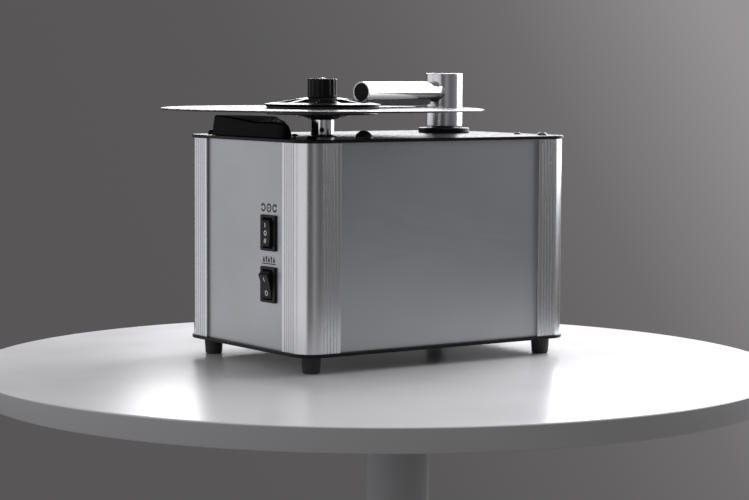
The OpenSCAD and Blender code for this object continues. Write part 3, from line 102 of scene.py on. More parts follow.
def round_of(node):
    """Lower height, upper height and radius of a node that is round about an upright axis"""
    low, high = low_of(node), high_of(node)
    return low.z, high.z, (high.x - low.x) / 2


def body_of(node):
    return frame["nodes"][node]["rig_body"]


def at(x, y, z):
    return Matrix.Translation(Vector((x, y, z)) * MM)


SPINDLE = middle("spindle_pin")
POST = middle("arm_post")
TUBE_Z = middle("arm_tube").z
LID_TOP = high_of("top_plate").z
FRONT = low_of("switch_panel").y
# Turns +X to the way that the arm points at rest
ARM_TURN = Matrix.Rotation(math.atan2(SPINDLE.y - POST.y, SPINDLE.x - POST.x), 4, "Z")
CORNERS = ("front_right", "front_left", "rear_left", "rear_right")
# Radius of the record's spindle hole and of what is bored like it
PIN_HOLE = 3.62
# Playing bands of the record, inner and outer radius
TRACKS = [(57.0, 73.5), (75.0, 91.0), (92.5, 110.5), (112.0, 128.5), (130.0, 146.2)]


# Node trees


class Nodes:
    """A node tree in the making"""

    def __init__(self, tree):
        self.tree = tree

    def add(self, kind, inputs=(), **settings):
        node = self.tree.nodes.new("ShaderNode" + kind)
        for key, value in settings.items():
            setattr(node, key, value)
        for key, value in dict(inputs).items():
            if isinstance(value, bpy.types.NodeSocket):
                self.tree.links.new(value, node.inputs[key])
            else:
                node.inputs[key].default_value = value
        return node

    def math(self, operation, first, second=0.0):
        return self.add("Math", {0: first, 1: second}, operation=operation).outputs[0]

    def ramp(self, factor, first, last, between=(), interpolation="LINEAR"):
        """Colour ramp whose stops are pairs of place and colour"""
        node = self.add("ValToRGB", {"Fac": factor})
        node.color_ramp.interpolation = interpolation
        stops = node.color_ramp.elements
        for stop, (place, tone) in zip(stops, (first, last)):
            stop.position, stop.color = place, tone
        for place, tone in between:
            stops.new(place).color = tone
        return node.outputs["Color"]


class Coat(Nodes):
    """One finish's node tree; positions are the object's own, in metres"""

    # Nearly all values of a noise lie between these
    faint, full = 0.35, 0.65

    def __init__(self, name, colour, roughness, metallic=0.0):
        self.material = bpy.data.materials.new(name + "_finish")
        self.material.use_nodes = True
        super().__init__(self.material.node_tree)
        self.shader = self.tree.nodes["Principled BSDF"]
        self.colour = tuple(colour)[:3]
        self.set("Base Color", (*self.colour, 1.0))
        self.set("Roughness", roughness)
        self.set("Metallic", metallic)
        self.bumped = None
        self.place = self.add("TexCoord").outputs["Object"]

    def set(self, socket, value):
        self.shader.inputs[socket].default_value = value

    def link(self, source, socket):
        self.tree.links.new(source, self.shader.inputs[socket])

    def stretched(self, x, y, z):
        return self.add("Mapping", {"Vector": self.place, "Scale": (x, y, z)}).outputs["Vector"]

    def mottle(self, scale, detail=3.0, where=None):
        inputs = {"Vector": where or self.place, "Scale": scale, "Detail": detail}
        return self.add("TexNoise", {**inputs, "Roughness": 0.6}).outputs["Fac"]

    def cells(self, scale):
        return self.add("TexVoronoi", {"Vector": self.place, "Scale": scale}).outputs["Distance"]

    def radius(self, centre):
        """Distance in metres from an upright axis through centre, which is in millimetres"""
        axis = (centre.x * MM, centre.y * MM, 0.0)
        apart = self.add("VectorMath", {0: self.place, 1: axis}, operation="SUBTRACT")
        flat = self.add("VectorMath", {0: apart.outputs[0], 1: (1, 1, 0)}, operation="MULTIPLY")
        length = self.add("VectorMath", {0: flat.outputs[0]}, operation="LENGTH")
        return length.outputs["Value"]

    def spread(self, factor, low, high, start=faint, end=full):
        inputs = {"Value": factor, "From Min": start, "From Max": end}
        return self.add("MapRange", {**inputs, "To Min": low, "To Max": high}).outputs["Result"]

    def tint(self, factor, share):
        """Colour that goes from darker to lighter than the plain one by that share"""
        dark, light = (
            (*(min(1.0, c * lift) for c in self.colour), 1.0) for lift in (1 - share, 1 + share)
        )
        self.link(self.ramp(factor, (self.faint, dark), (self.full, light)), "Base Color")

    def gloss(self, factor, low, high):
        self.link(self.spread(factor, low, high), "Roughness")

    def relief(self, height, depth, strength=1.0):
        """Adds a bump, its depth in millimetres"""
        inputs = {"Height": height, "Distance": depth * MM, "Strength": strength}
        if self.bumped is not None:
            inputs["Normal"] = self.bumped
        self.bumped = self.add("Bump", inputs).outputs["Normal"]
        self.link(self.bumped, "Normal")


def colours():
    return bpy.context.scene.record_cleaner_colours


def sizes():
    return bpy.context.scene.record_cleaner_sizes


# Finishes


def mottled(name, colour, roughness, metallic, tint, gloss, *bumps):
    """Finish whose tint, gloss and bumps each follow a noise of their own. Each is given by the
    noise's scale and detail, and then by the tint's share, the two ends of the roughness or the
    bump's depth and strength"""
    coat = Coat(name, colour, roughness, metallic)
    coat.tint(coat.mottle(*tint[:2]), *tint[2:])
    coat.gloss(coat.mottle(*gloss[:2]), *gloss[2:])
    for bump in bumps:
        coat.relief(coat.mottle(*bump[:2]), *bump[2:])
    return coat


def grained(name, colour, roughness, grain, stretch, tint, gloss, bump):
    """Metal whose gloss and bump follow one stretched noise; gloss is two shares of roughness"""
    coat = Coat(name, colour, roughness, 1.0)
    lines = coat.mottle(*grain, coat.stretched(*stretch))
    coat.tint(coat.mottle(*tint[:2]), *tint[2:])
    coat.gloss(lines, *(roughness * share for share in gloss))
    coat.relief(lines, *bump)
    return coat


def turned_metal(name, colour, roughness, lines):
    """Turned and polished metal: fine rings round an upright axis and faint smears"""
    rings, smears = (0.01, 0.01, 1), (30, 2, 0.03)
    gloss, bump = (0.8, 1.25), (0.0008, 0.3)
    return grained(name, colour, roughness, (lines, 3), rings, smears, gloss, bump)


def steel(name, colour, roughness):
    coat = Coat(name, colour, roughness, 1.0)
    coat.tint(coat.mottle(120, 4), 0.07)
    drawn = coat.mottle(700, 3, coat.stretched(1, 0.15, 1))
    coat.gloss(drawn, roughness * 0.8, roughness * 1.3)
    coat.relief(coat.mottle(2400, 2), 0.006)
    return coat


def moulded(name, colour, roughness, texture, depth):
    """Moulded plastic with a spark-eroded texture"""
    gloss = (240, 3, roughness * 0.85, roughness * 1.2)
    return mottled(name, colour, roughness, 0, (60, 3, 0.12), gloss, (texture, 2, depth))


def soft_rubber(name, colour):
    coat = mottled(name, colour, 0.72, 0, (90, 4, 0.22), (300, 3, 0.62, 0.82))
    coat.relief(coat.cells(1500), 0.03, 0.6)
    coat.relief(coat.mottle(3000, 2), 0.02)
    return coat


def cast_metal(name, colour):
    coat = mottled(name, colour, 0.5, 1.0, (80, 4, 0.1), (260, 3, 0.42, 0.6))
    coat.relief(coat.cells(900), 0.04, 0.5)
    return coat


def grooved_vinyl(name, colour):
    """Black vinyl with close playing grooves in bands and smooth gaps between them"""
    coat = Coat(name, colour, 0.2)
    away = coat.radius(SPINDLE)
    pitch = sizes().groove_pitch * MM
    turns = coat.math("SINE", coat.math("MULTIPLY", away, 2 * math.pi / pitch))
    inputs = {"W": coat.math("MULTIPLY", away, 900.0), "Detail": 3.0}
    loudness = coat.add("TexNoise", inputs, noise_dimensions="1D").outputs["Fac"]
    coat.tint(loudness, 0.25)
    coat.gloss(loudness, 0.19, 0.23)
    smooth, cut = (0, 0, 0, 1), (1, 1, 1, 1)
    # The ramp spans this radius, a little more than the record's
    reach = 160
    edges = [(r / reach, tone) for band in TRACKS for r, tone in zip(band, (cut, smooth))]
    share = coat.math("DIVIDE", away, reach * MM)
    grooved = coat.ramp(share, (0.0, smooth), edges[0], edges[1:], "CONSTANT")
    coat.relief(coat.math("MULTIPLY", turns, grooved), 0.001, 0.06)
    return coat


def paper_label(name, colour):
    """Uncoated label paper with thin printed rings and no wording"""
    coat = Coat(name, colour, 0.7)
    share = coat.math("DIVIDE", coat.radius(SPINDLE), 0.05)
    plain = (*coat.colour, 1.0)
    inked = (*(c * 0.35 for c in coat.colour), 1.0)
    rings = ((0.215, plain), (0.9, inked), (0.925, plain), (0.945, inked), (0.952, plain))
    print_ = coat.ramp(share, (0.0, plain), (0.2, inked), rings, "CONSTANT")
    fibre = coat.mottle(900, 4)
    inputs = {"Factor": 0.12, "A": print_, "B": fibre}
    mixed = coat.add("Mix", inputs, data_type="RGBA", blend_type="OVERLAY")
    coat.link(mixed.outputs["Result"], "Base Color")
    coat.gloss(fibre, 0.6, 0.8)
    coat.relief(fibre, 0.02)
    return coat


def short_velvet(name, colour):
    coat = Coat(name, colour, 0.95)
    coat.set("Sheen Weight", 0.7)
    coat.set("Sheen Roughness", 0.35)
    pile = coat.mottle(2600, 3)
    coat.tint(coat.mottle(260, 4), 0.45)
    coat.gloss(pile, 0.88, 1.0)
    coat.relief(pile, 0.15)
    return coat


def milky_plastic(name, colour):
    tint, gloss, bump = (22, 3, 0.05), (120, 3, 0.34, 0.5), (90, 2, 0.12, 0.3)
    coat = mottled(name, colour, 0.4, 0, tint, gloss, bump)
    coat.set("Subsurface Weight", 0.25)
    coat.set("Subsurface Scale", 0.01)
    return coat


# Settings of the makers that more than one finish has: powder coating, ink, and aluminium whose
# die lines run up the piece
POWDER = (0.3, 0, (45, 3, 0.16), (160, 4, 0.24, 0.34), (2300, 2, 0.002, 0.5))
INK = (0.5, 0, (900, 3, 0.08), (1500, 2, 0.42, 0.6), (2600, 2, 0.01))
EXTRUDED = ((1400, 2), (1, 1, 0), (9, 1, 0.015), (0.9, 1.1), (0.0002, 0.2))
# Grain along the sheet's length, and a smooth sleeve
BRUSHED = (0.4, (2600, 3), (0.012, 0.012, 1), (9, 2, 0.03), (0.9, 1.125), (0.002, 0.5))
SLEEVE = (0.42, 0, (150, 3, 0.18), (500, 2, 0.36, 0.5), (1400, 2, 0.02))

# Each finish's maker, its colour and the maker's settings.
FINISHES = {
    "black_plate": (mottled, "black_coating", *POWDER),
    "profile_metal": (grained, "silver_profiles", 0.22, *EXTRUDED),
    "panel_metal": (grained, "grey_panels", *BRUSHED),
    "foot_rubber": (soft_rubber, None),
    "screw_steel": (steel, None, 0.28),
    "dark_screws": (steel, None, 0.3),
    "gloss_black": (moulded, None, 0.1, 900, 0.001),
    "switch_black": (moulded, "switches", 0.3, 1700, 0.012),
    "motor_metal": (mottled, None, *POWDER),
    "cast_alloy": (cast_metal, None),
    "sheet_steel": (steel, None, 0.36),
    "bright_chrome": (turned_metal, "bright_metal", 0.12, 1500),
    "black_platter": (mottled, None, *POWDER),
    "mat_rubber": (soft_rubber, None),
    "record_vinyl": (grooved_vinyl, "record_vinyl"),
    "clamp_plastic": (moulded, "clamp", 0.26, 1900, 0.002),
    "bearing_brass": (turned_metal, None, 0.26, 2200),
    "dark_stem": (turned_metal, None, 0.3, 2200),
    "arm_aluminium": (grained, "arm_post", 0.24, *EXTRUDED),
    "velvet": (short_velvet, None),
    "hood_plastic": (moulded, "hood", 0.16, 1500, 0.001),
    "box_plastic": (moulded, None, 0.5, 800, 0.05),
    "tank_plastic": (milky_plastic, None),
    "hose_rubber": (soft_rubber, None),
    "cap_red": (moulded, None, 0.4, 900, 0.03),
    "wire_sleeve": (mottled, None, *SLEEVE),
    "label_paper": (paper_label, "label"),
    "switch_mark_ink": (mottled, "switch_marks", *INK),
    "panel_mark_ink": (mottled, (0.015, 0.015, 0.016), *INK),
}
# Level of mirror light where it isn't a plain surface's 0.5
MIRROR_LIGHT = {
    "black_plate": 0.1,
    "gloss_black": 1.0,
    "switch_black": 0.12,
    "clamp_plastic": 0.12,
    "hood_plastic": 0.02,
}


def finish(name):
    """The material of that finish, made when it is first asked for"""
    made = bpy.data.materials.get(name + "_finish")
    if made:
        return made
    maker, colour, *settings = FINISHES[name]
    if colour is None:
        colour = PAINTS[name]
    elif isinstance(colour, str):
        colour = getattr(colours(), colour)
    coat = maker(name, colour, *settings)
    if name in MIRROR_LIGHT:
        coat.set("Specular IOR Level", MIRROR_LIGHT[name])
    return coat.material


# Mesh work, sizes in millimetres


def into_scene(name, bm):
    """Makes an object of a mesh in the making"""
    bmesh.ops.recalc_face_normals(bm, faces=bm.faces)
    mesh = bpy.data.meshes.new(name)
    bm.to_mesh(mesh)
    bm.free()
    made = bpy.data.objects.new(name, mesh)
    bpy.context.scene.collection.objects.link(made)
    return made


def coated(made, material, sharp):
    """Shades an object smoothly up to edges of that many degrees"""
    mesh = made.data
    mesh.polygons.foreach_set("use_smooth", [True] * len(mesh.polygons))
    mesh.set_sharp_from_angle(angle=math.radians(sharp))
    mesh.materials.append(material)
    return made


def show(name, bm, look, body, nodes=(), sharp=35):
    """Turns a mesh in the making into a piece that rides on a body"""
    piece = coated(into_scene(name, bm), finish(look), sharp)
    shading = piece.modifiers.new("even shading", "WEIGHTED_NORMAL")
    shading.keep_sharp = True
    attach(piece, body)
    if nodes:
        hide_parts(*nodes)
    return piece


def stand_for(node, bm, sharp=35):
    return show(node + "_piece", bm, SLOTS[node], body_of(node), nodes=(node,), sharp=sharp)


def copied(node):
    """The node's own shape, its flat faces whole again"""
    bm = bmesh.new()
    bm.from_mesh(frame["nodes"][node].data)
    bmesh.ops.remove_doubles(bm, verts=bm.verts, dist=0.000002)
    bmesh.ops.dissolve_limit(bm, angle_limit=math.radians(0.4), verts=bm.verts, edges=bm.edges)
    return bm


def bevel(bm, edges, width, rounds):
    bmesh.ops.bevel(
        bm,
        geom=edges,
        offset=width * MM,
        offset_type="OFFSET",
        segments=rounds,
        profile=0.5,
        affect="EDGES",
        clamp_overlap=False,
    )
    return bm


def break_edges(bm, width, turn=28, rounds=2):
    """Rounds the edges that turn by more than so many degrees, as a file or a mould does"""
    least = math.radians(turn)
    edges = [e for e in bm.edges if len(e.link_faces) == 2 and e.calc_face_angle(0) > least]
    return bevel(bm, edges, width, rounds)


def softened(node, width, turn=28, rounds=2):
    """The node's own shape with its edges broken"""
    return stand_for(node, break_edges(copied(node), width, turn, rounds))


def soften(**widths):
    """Breaks the edges of each node's own shape by its width"""
    for node, width in widths.items():
        softened(node, width)


def arc(radius, start, sweep, steps, x=0.0, y=0.0):
    """Points along an arc about (x, y), both ends included"""
    turns = [start + sweep * k / steps for k in range(steps + 1)]
    return [(x + radius * math.cos(a), y + radius * math.sin(a)) for a in turns]


def circle(radius, count):
    return arc(radius, 0.0, 2 * math.pi, count)[:-1]


def rounded(corners, steps=4):
    """Closed outline through corners (x, y, radius), each turned by an arc"""
    outline = []
    tiny = 1e-6
    for i, (x, y, radius) in enumerate(corners):
        here = Vector((x, y))
        back = Vector(corners[i - 1][:2]) - here
        ahead = Vector(corners[(i + 1) % len(corners)][:2]) - here
        plain = radius <= 0 or back.length < tiny or ahead.length < tiny
        half = 0.0 if plain else back.angle(ahead) / 2
        if plain or half > math.radians(89.5):
            outline.append(here)
            continue
        reach = min(radius / math.tan(half), 0.49 * back.length, 0.49 * ahead.length)
        radius = reach * math.tan(half)
        inwards = (back.normalized() + ahead.normalized()).normalized()
        centre = here + inwards * radius / math.sin(half)
        first = here + back.normalized() * reach - centre
        last = here + ahead.normalized() * reach - centre
        begin = math.atan2(first.y, first.x)
        sweep = math.atan2(last.y, last.x) - begin
        sweep = (sweep + math.pi) % (2 * math.pi) - math.pi
        for k in range(steps + 1):
            a = begin + sweep * k / steps
            outline.append(centre + Vector((math.cos(a), math.sin(a))) * radius)
    return outline


def walls(bm, rings, closed=False):
    """Faces from each ring of vertices to the next, and from the last to the first if closed"""
    for here, after in zip(rings, rings[1:] + rings[:1] if closed else rings[1:]):
        for k in range(len(here)):
            j = (k + 1) % len(here)
            if closed:
                bm.faces.new((here[k], after[k], after[j], here[j]))
            else:
                bm.faces.new((here[k], here[j], after[j], after[k]))


def walls_and_ends(bm, rings):
    walls(bm, rings)
    bm.faces.new(list(reversed(rings[0])))
    bm.faces.new(rings[-1])


def turned(outline, place=None, steps=96, shape=None):
    """Spins a closed outline (radius, height) round the Z axis, then puts it in place"""
    bm = bmesh.new()
    rings = []
    for k in range(steps):
        angle = 2 * math.pi * k / steps
        ring = []
        for radius, height in outline:
            if shape:
                radius, height = shape(radius, height, angle)
            point = Vector((radius * math.cos(angle), radius * math.sin(angle), height)) * MM
            ring.append(bm.verts.new(place @ point if place else point))
        rings.append(ring)
    walls(bm, rings, closed=True)
    bmesh.ops.remove_doubles(bm, verts=[v for ring in rings for v in ring], dist=1e-7)
    return bm


def on_spindle(outline, steps, z=0.0, shape=None):
    return turned(outline, at(SPINDLE.x, SPINDLE.y, z), steps, shape)


def prism(outline, height, edge=0.0, rounds=2, place=None):
    """Closed outline drawn up from z = 0, its two rims rounded by edge"""
    bm = bmesh.new()
    low = [bm.verts.new((x * MM, y * MM, 0)) for x, y in outline]
    high = [bm.verts.new((x * MM, y * MM, height * MM)) for x, y in outline]
    bm.faces.new(list(reversed(low)))
    bm.faces.new(high)
    walls(bm, [low, high])
    if edge:
        rims = set(low), set(high)
        edges = [e for e in bm.edges if any(rim.issuperset(e.verts) for rim in rims)]
        bevel(bm, edges, edge, rounds)
    if place:
        bm.transform(place)
    return bm


def absorb(bm, part):
    """Adds another mesh in the making to bm"""
    carrier = bpy.data.meshes.new("carrier")
    part.to_mesh(carrier)
    part.free()
    bm.from_mesh(carrier)
    bpy.data.meshes.remove(carrier)
    return bm


def carved(bm, cutter):
    """What is left of bm once the cutter's shape is taken out of it"""
    blocks = [into_scene("block", part) for part in (bm, cutter)]
    cut = blocks[0].modifiers.new("cut", "BOOLEAN")
    cut.operation = "DIFFERENCE"
    cut.solver = "EXACT"
    cut.object = blocks[1]
    result = bmesh.new()
    result.from_object(blocks[0], bpy.context.evaluated_depsgraph_get())
    for block in blocks:
        mesh = block.data
        bpy.data.objects.remove(block)
        bpy.data.meshes.remove(mesh)
    return result


def swept(bm, path, sides, radius):
    """Adds an open tube along points; radius is a function of the distance along it"""
    points = [Vector(p) for p in path]
    side = (points[1] - points[0]).normalized().orthogonal().normalized()
    rings = []
    along = 0.0
    for i, point in enumerate(points):
        ahead = (points[min(i + 1, len(points) - 1)] - points[max(i - 1, 0)]).normalized()
        side = (side - ahead * side.dot(ahead)).normalized()
        up = ahead.cross(side)
        if i:
            along += (point - points[i - 1]).length
        r = radius(along)
        ring = []
        for k in range(sides):
            a = 2 * math.pi * k / sides
            ring.append(bm.verts.new((point + (side * math.cos(a) + up * math.sin(a)) * r) * MM))
        rings.append(ring)
    walls(bm, rings)


# What a user would change


def paint(name, default, description):
    return FloatVectorProperty(
        name=name, description=description, default=default, subtype="COLOR", min=0.0, max=1.0
    )


def measure(name, default, least, most, description, **kind):
    """A number in millimetres, unless kind gives it another unit or a subtype"""
    return FloatProperty(
        name=name, description=description, default=default, min=least, max=most, **kind
    )


def number(name, default, least, most, description):
    return IntProperty(name=name, description=description, default=default, min=least, max=most)


def wattage(name, default, description):
    return FloatProperty(name=name, description=description, default=default, min=0.0, unit="POWER")


def darker(slot):
    return [tone * 0.88 for tone in PAINTS[slot]]


class RecordCleanerColours(bpy.types.PropertyGroup):
    """Colours of the parts that give the machine its look"""

    black_coating: paint(
        "Black coating",
        (0.012, 0.012, 0.013),
        "Satin black coating of the top and bottom plates and the arm's flange",
    )
    silver_profiles: paint(
        "Corner profiles",
        darker("profile_metal"),
        "Silver anodised aluminium of the four grooved corner profiles",
    )
    grey_panels: paint(
        "Panels", darker("panel_metal"), "Grey anodised aluminium of the four flat panels"
    )
    bright_metal: paint(
        "Bright metal",
        PAINTS["bright_chrome"],
        "Polished metal of the spindle hub and the arm's tube",
    )
    arm_post: paint(
        "Arm post",
        PAINTS["arm_aluminium"],
        "Turned aluminium of the post that carries the vacuum arm",
    )
    clamp: paint(
        "Clamp",
        (0.008, 0.008, 0.009),
        "Black plastic of the record clamp, its knob and the arm's end cap",
    )
    hood: paint(
        "Exhaust hood", (0.006, 0.006, 0.0065), "Glossy black plastic of the exhaust hood"
    )
    switches: paint(
        "Switches", (0.008, 0.008, 0.009), "Black plastic of the switches and the mains inlet"
    )
    record_vinyl: paint("Record", PAINTS["record_vinyl"], "Vinyl of the record on the platter")
    label: paint("Record label", (0.5, 0.47, 0.41), "Plain paper of the record's label")
    switch_marks: paint(
        "Switch marks", (0.85, 0.85, 0.84), "White ink of the marks on the two rockers"
    )


class RecordCleanerSizes(bpy.types.PropertyGroup):
    """Small sizes of the finish that the construction leaves open, in millimetres"""

    metal_edge: measure("Metal edge", 0.3, 0.05, 0.8, "Width of a metal part's broken edge, in mm")
    plastic_edge: measure(
        "Plastic edge", 0.4, 0.05, 1.0, "Width of a small moulding's rounded edge, in mm"
    )
    hood_edge: measure("Hood edge", 2.0, 0.5, 4.0, "Radius of the hood's upper edges, in mm")
    groove_pitch: measure(
        "Groove pitch", 0.3, 0.1, 1.0, "Distance between the record's shaded grooves, in mm"
    )
    rib_pitch: measure("Hose rib pitch", 4.0, 2.0, 8.0, "Distance between the hose's ribs, in mm")
    flutes: number("Knob flutes", 18, 6, 36, "Number of shallow flutes round the clamp's knob")
    pile_tufts: number("Velvet tufts", 1100, 0, 4000, "Number of tufts of pile on each pad")


class RecordCleanerStage(bpy.types.PropertyGroup):
    """Table, backdrop, lamps and camera"""

    table_colour: paint("Table", (0.8, 0.8, 0.81), "Colour of the pale table top")
    # Table rim colour: a darker grey painted on the table top's edge band as painted shade,
    # standing for the shadow on the table's side
    rim_colour: paint("Table rim", (0.4, 0.4, 0.41), "Colour of the table top's edge band")
    column_colour: paint("Column", (0.3, 0.3, 0.31), "Colour of the column under the table top")
    table_radius: measure(
        "Table radius", 0.378, 0.25, 2.0, "Radius of the round table top", unit="LENGTH"
    )
    left_power: wattage("Left lamp", 6.6, "Power of the soft lamp to the left of the switches")
    near_power: wattage("Near lamp", 6.6, "Power of the soft lamp between the left and the camera")
    right_power: wattage("Right lamp", 32.0, "Power of the soft lamp behind on the right")
    back_power: wattage("Back lamp", 32.0, "Power of the wide lamp behind, above the picture")
    top_power: wattage("Top lamp", 9.0, "Power of the soft lamp over the machine")
    ambient: measure(
        "Room light", 0.25, 0.0, 1.0, "Strength of the plain light from all round", subtype="FACTOR"
    )
    focal_length: measure(
        "Focal length", 106.99, 20.0, 300.0, "Lens on a 36 mm wide sensor, in mm", unit="CAMERA"
    )


# Steps


class RECORD_CLEANER_OT_case_plates(bpy.types.Operator):
    """Top and bottom plates, their screws, the round plug and the four feet"""

    bl_idname = "record_cleaner.case_plates"
    bl_label = "Plates and feet"

    def execute(self, context):
        for node in ("top_plate", "bottom_plate"):
            softened(node, sizes().metal_edge * 2, rounds=3)
        soften(plate_screws=0.18, foot_screws=0.18, access_plug=0.18)
        for corner in CORNERS:
            self.foot("foot_" + corner)
        return {"FINISHED"}

    def foot(self, node):
        """Tapered rubber foot with two fine grooves round it and a bore for its screw"""
        _, height, top_r = round_of(node)
        bottom_r = top_r - 1
        hole, sunk, floor = 2.35, 5, 4

        def wall(z):
            return bottom_r + (top_r - bottom_r) * z / height

        side = [(bottom_r - 1.2, 0, 0.5), (wall(1.2), 1.2, 0.8)]
        for z in (3.2, 5.0):
            side.append((wall(z - 0.35), z - 0.35, 0.1))
            side.append((wall(z) - 0.45, z, 0.15))
            side.append((wall(z + 0.35), z + 0.35, 0.1))
        side.append((wall(height - 0.6) - 0.1, height - 0.6, 0.2))
        side.append((top_r - 0.5, height, 0.2))
        bore = [(hole, height, 0), (hole, floor, 0), (sunk, floor, 0.3), (sunk, 0, 0.4)]
        centre = middle(node)
        stand_for(node, turned(rounded(side + bore, 3), at(centre.x, centre.y, 0), 64))


class RECORD_CLEANER_OT_corner_profiles(bpy.types.Operator):
    """The four grooved corner profiles, sawn to length with their edges lightly broken"""

    bl_idname = "record_cleaner.corner_profiles"
    bl_label = "Corner profiles"

    def execute(self, context):
        for corner in CORNERS:
            softened("corner_profile_" + corner, 0.3, turn=40)
        return {"FINISHED"}


class RECORD_CLEANER_OT_panels(bpy.types.Operator):
    """The four flat panels that slide between the corner profiles"""

    bl_idname = "record_cleaner.panels"
    bl_label = "Panels"

    def execute(self, context):
        for node in ("switch_panel", "right_panel", "left_panel", "rear_panel"):
            softened(node, sizes().metal_edge * 0.7)
        return {"FINISHED"}


class RECORD_CLEANER_OT_switches(bpy.types.Operator):
    """The two rocker switches with the raised white marks on their rockers"""

    bl_idname = "record_cleaner.switches"
    bl_label = "Switches"

    # How far the pivot lies behind the panel's face
    pivot_in = 2.6
    # Radius of the rocker's ends about its pivot and how far behind it they end
    reach, back = 13.6, 3
    # Half height of the face, and the rocker's width
    rim, width = 11.0, 15.0
    # How far the face stands out at its middle, how much more at its tips and how deep it dips
    # between the middle and dip_end
    face_middle, face_rise, face_dip, dip_end = 6.9, 1.1, 0.3, 11.2
    # Top and foot of the marks, from the face
    proud, root = 0.06, -0.3

    def execute(self, context):
        for node in ("motor_switch_housing", "vacuum_switch_housing"):
            softened(node, sizes().plastic_edge, rounds=3)
        self.rocker("motor", 0.0, (("bar", 7.2), ("ring", 0.0), ("bars", -7.2)))
        self.rocker("vacuum", 12.0, (("bar", 6.4), ("ring", -6.4)))
        return {"FINISHED"}

    def face(self, up):
        """How far the rocker's face stands out from its pivot at that height"""
        rise = self.face_rise * min(1.0, abs(up) / self.reach)
        dip = self.face_dip * math.sin(math.pi * min(1.0, abs(up) / self.dip_end))
        return self.face_middle + rise - dip

    def rocker(self, name, tilt, marks):
        node = name + "_rocker"
        pivot_z = middle(name + "_switch_housing").z
        place = at(middle(node).x, FRONT + self.pivot_in, pivot_z)
        # Takes (outwards, up, sideways) to the frame's axes
        outward = Matrix(((0, 0, -1, 0), (-1, 0, 0, 0), (0, 1, 0, 0), (0, 0, 0, 1)))
        stance = place @ Matrix.Rotation(math.radians(tilt), 4, "X") @ outward
        outline = [(self.face(self.rim * k / 10), self.rim * k / 10) for k in range(-10, 11)]
        start = math.atan2(self.rim, self.face(self.rim))
        sweep = math.acos(-self.back / self.reach) - start
        upper = arc(self.reach, start, sweep, 8)[1:]
        outline += upper + [(x, -y) for x, y in reversed(upper)]
        bm = prism(outline, self.width, 0.45, 3, at(0, 0, -self.width / 2))
        half, r = 9.1, 1.5
        pin = rounded([(0, -half, 0), (r, -half, 0.3), (r, half, 0.3), (0, half, 0)])
        absorb(bm, turned(pin, None, 24))
        bm.transform(stance)
        stand_for(node, bm)
        ink = bmesh.new()
        for kind, up in marks:
            if kind == "ring":
                self.ring_mark(ink, up)
            else:
                for side in (0.0,) if kind == "bar" else (-1.05, 1.05):
                    self.bar_mark(ink, side, up)
        ink.transform(stance)
        show(node + "_marks", ink, "switch_mark_ink", body_of(node))

    def raise_mark(self, bm, faces):
        """Faces are lists of (side, up); each point stands a hair proud of the rocker's face"""
        made = {}

        def spot(side, up):
            return round(side, 4), round(up, 4)

        def vert(side, up, depth):
            key = (*spot(side, up), depth)
            if key not in made:
                made[key] = bm.verts.new(Vector((self.face(up) + depth, up, side)) * MM)
            return made[key]

        borders = {}
        for points in faces:
            bm.faces.new([vert(*point, self.proud) for point in points])
            for a, b in zip(points, points[1:] + points[:1]):
                key = frozenset((spot(*a), spot(*b)))
                borders[key] = None if key in borders else (a, b)
        for pair in borders.values():
            if pair:
                a, b = pair
                corners = (a, self.proud), (a, self.root), (b, self.root), (b, self.proud)
                bm.faces.new([vert(*point, depth) for point, depth in corners])

    def bar_mark(self, bm, side, up):
        half_w, half_h = 0.46, 2.0
        left, right = side - half_w, side + half_w
        levels = [up + half_h * (k / 3 - 1) for k in range(7)]
        pairs = zip(levels, levels[1:])
        self.raise_mark(bm, [[(left, a), (right, a), (right, b), (left, b)] for a, b in pairs])

    def ring_mark(self, bm, up):
        """Upright oval ring; its half sizes are (outer, inner)"""
        half_w, half_h = (2.3, 1.5), (2.4, 1.62)
        faces = []
        count = 28
        for k in range(count):
            ends = 2 * math.pi * k / count, 2 * math.pi * (k + 1) / count
            outer, inner = (
                [(w * math.cos(t), up + h * math.sin(t)) for t in turns]
                for w, h, turns in zip(half_w, half_h, (ends, ends[::-1]))
            )
            faces.append(outer + inner)
        self.raise_mark(bm, faces)


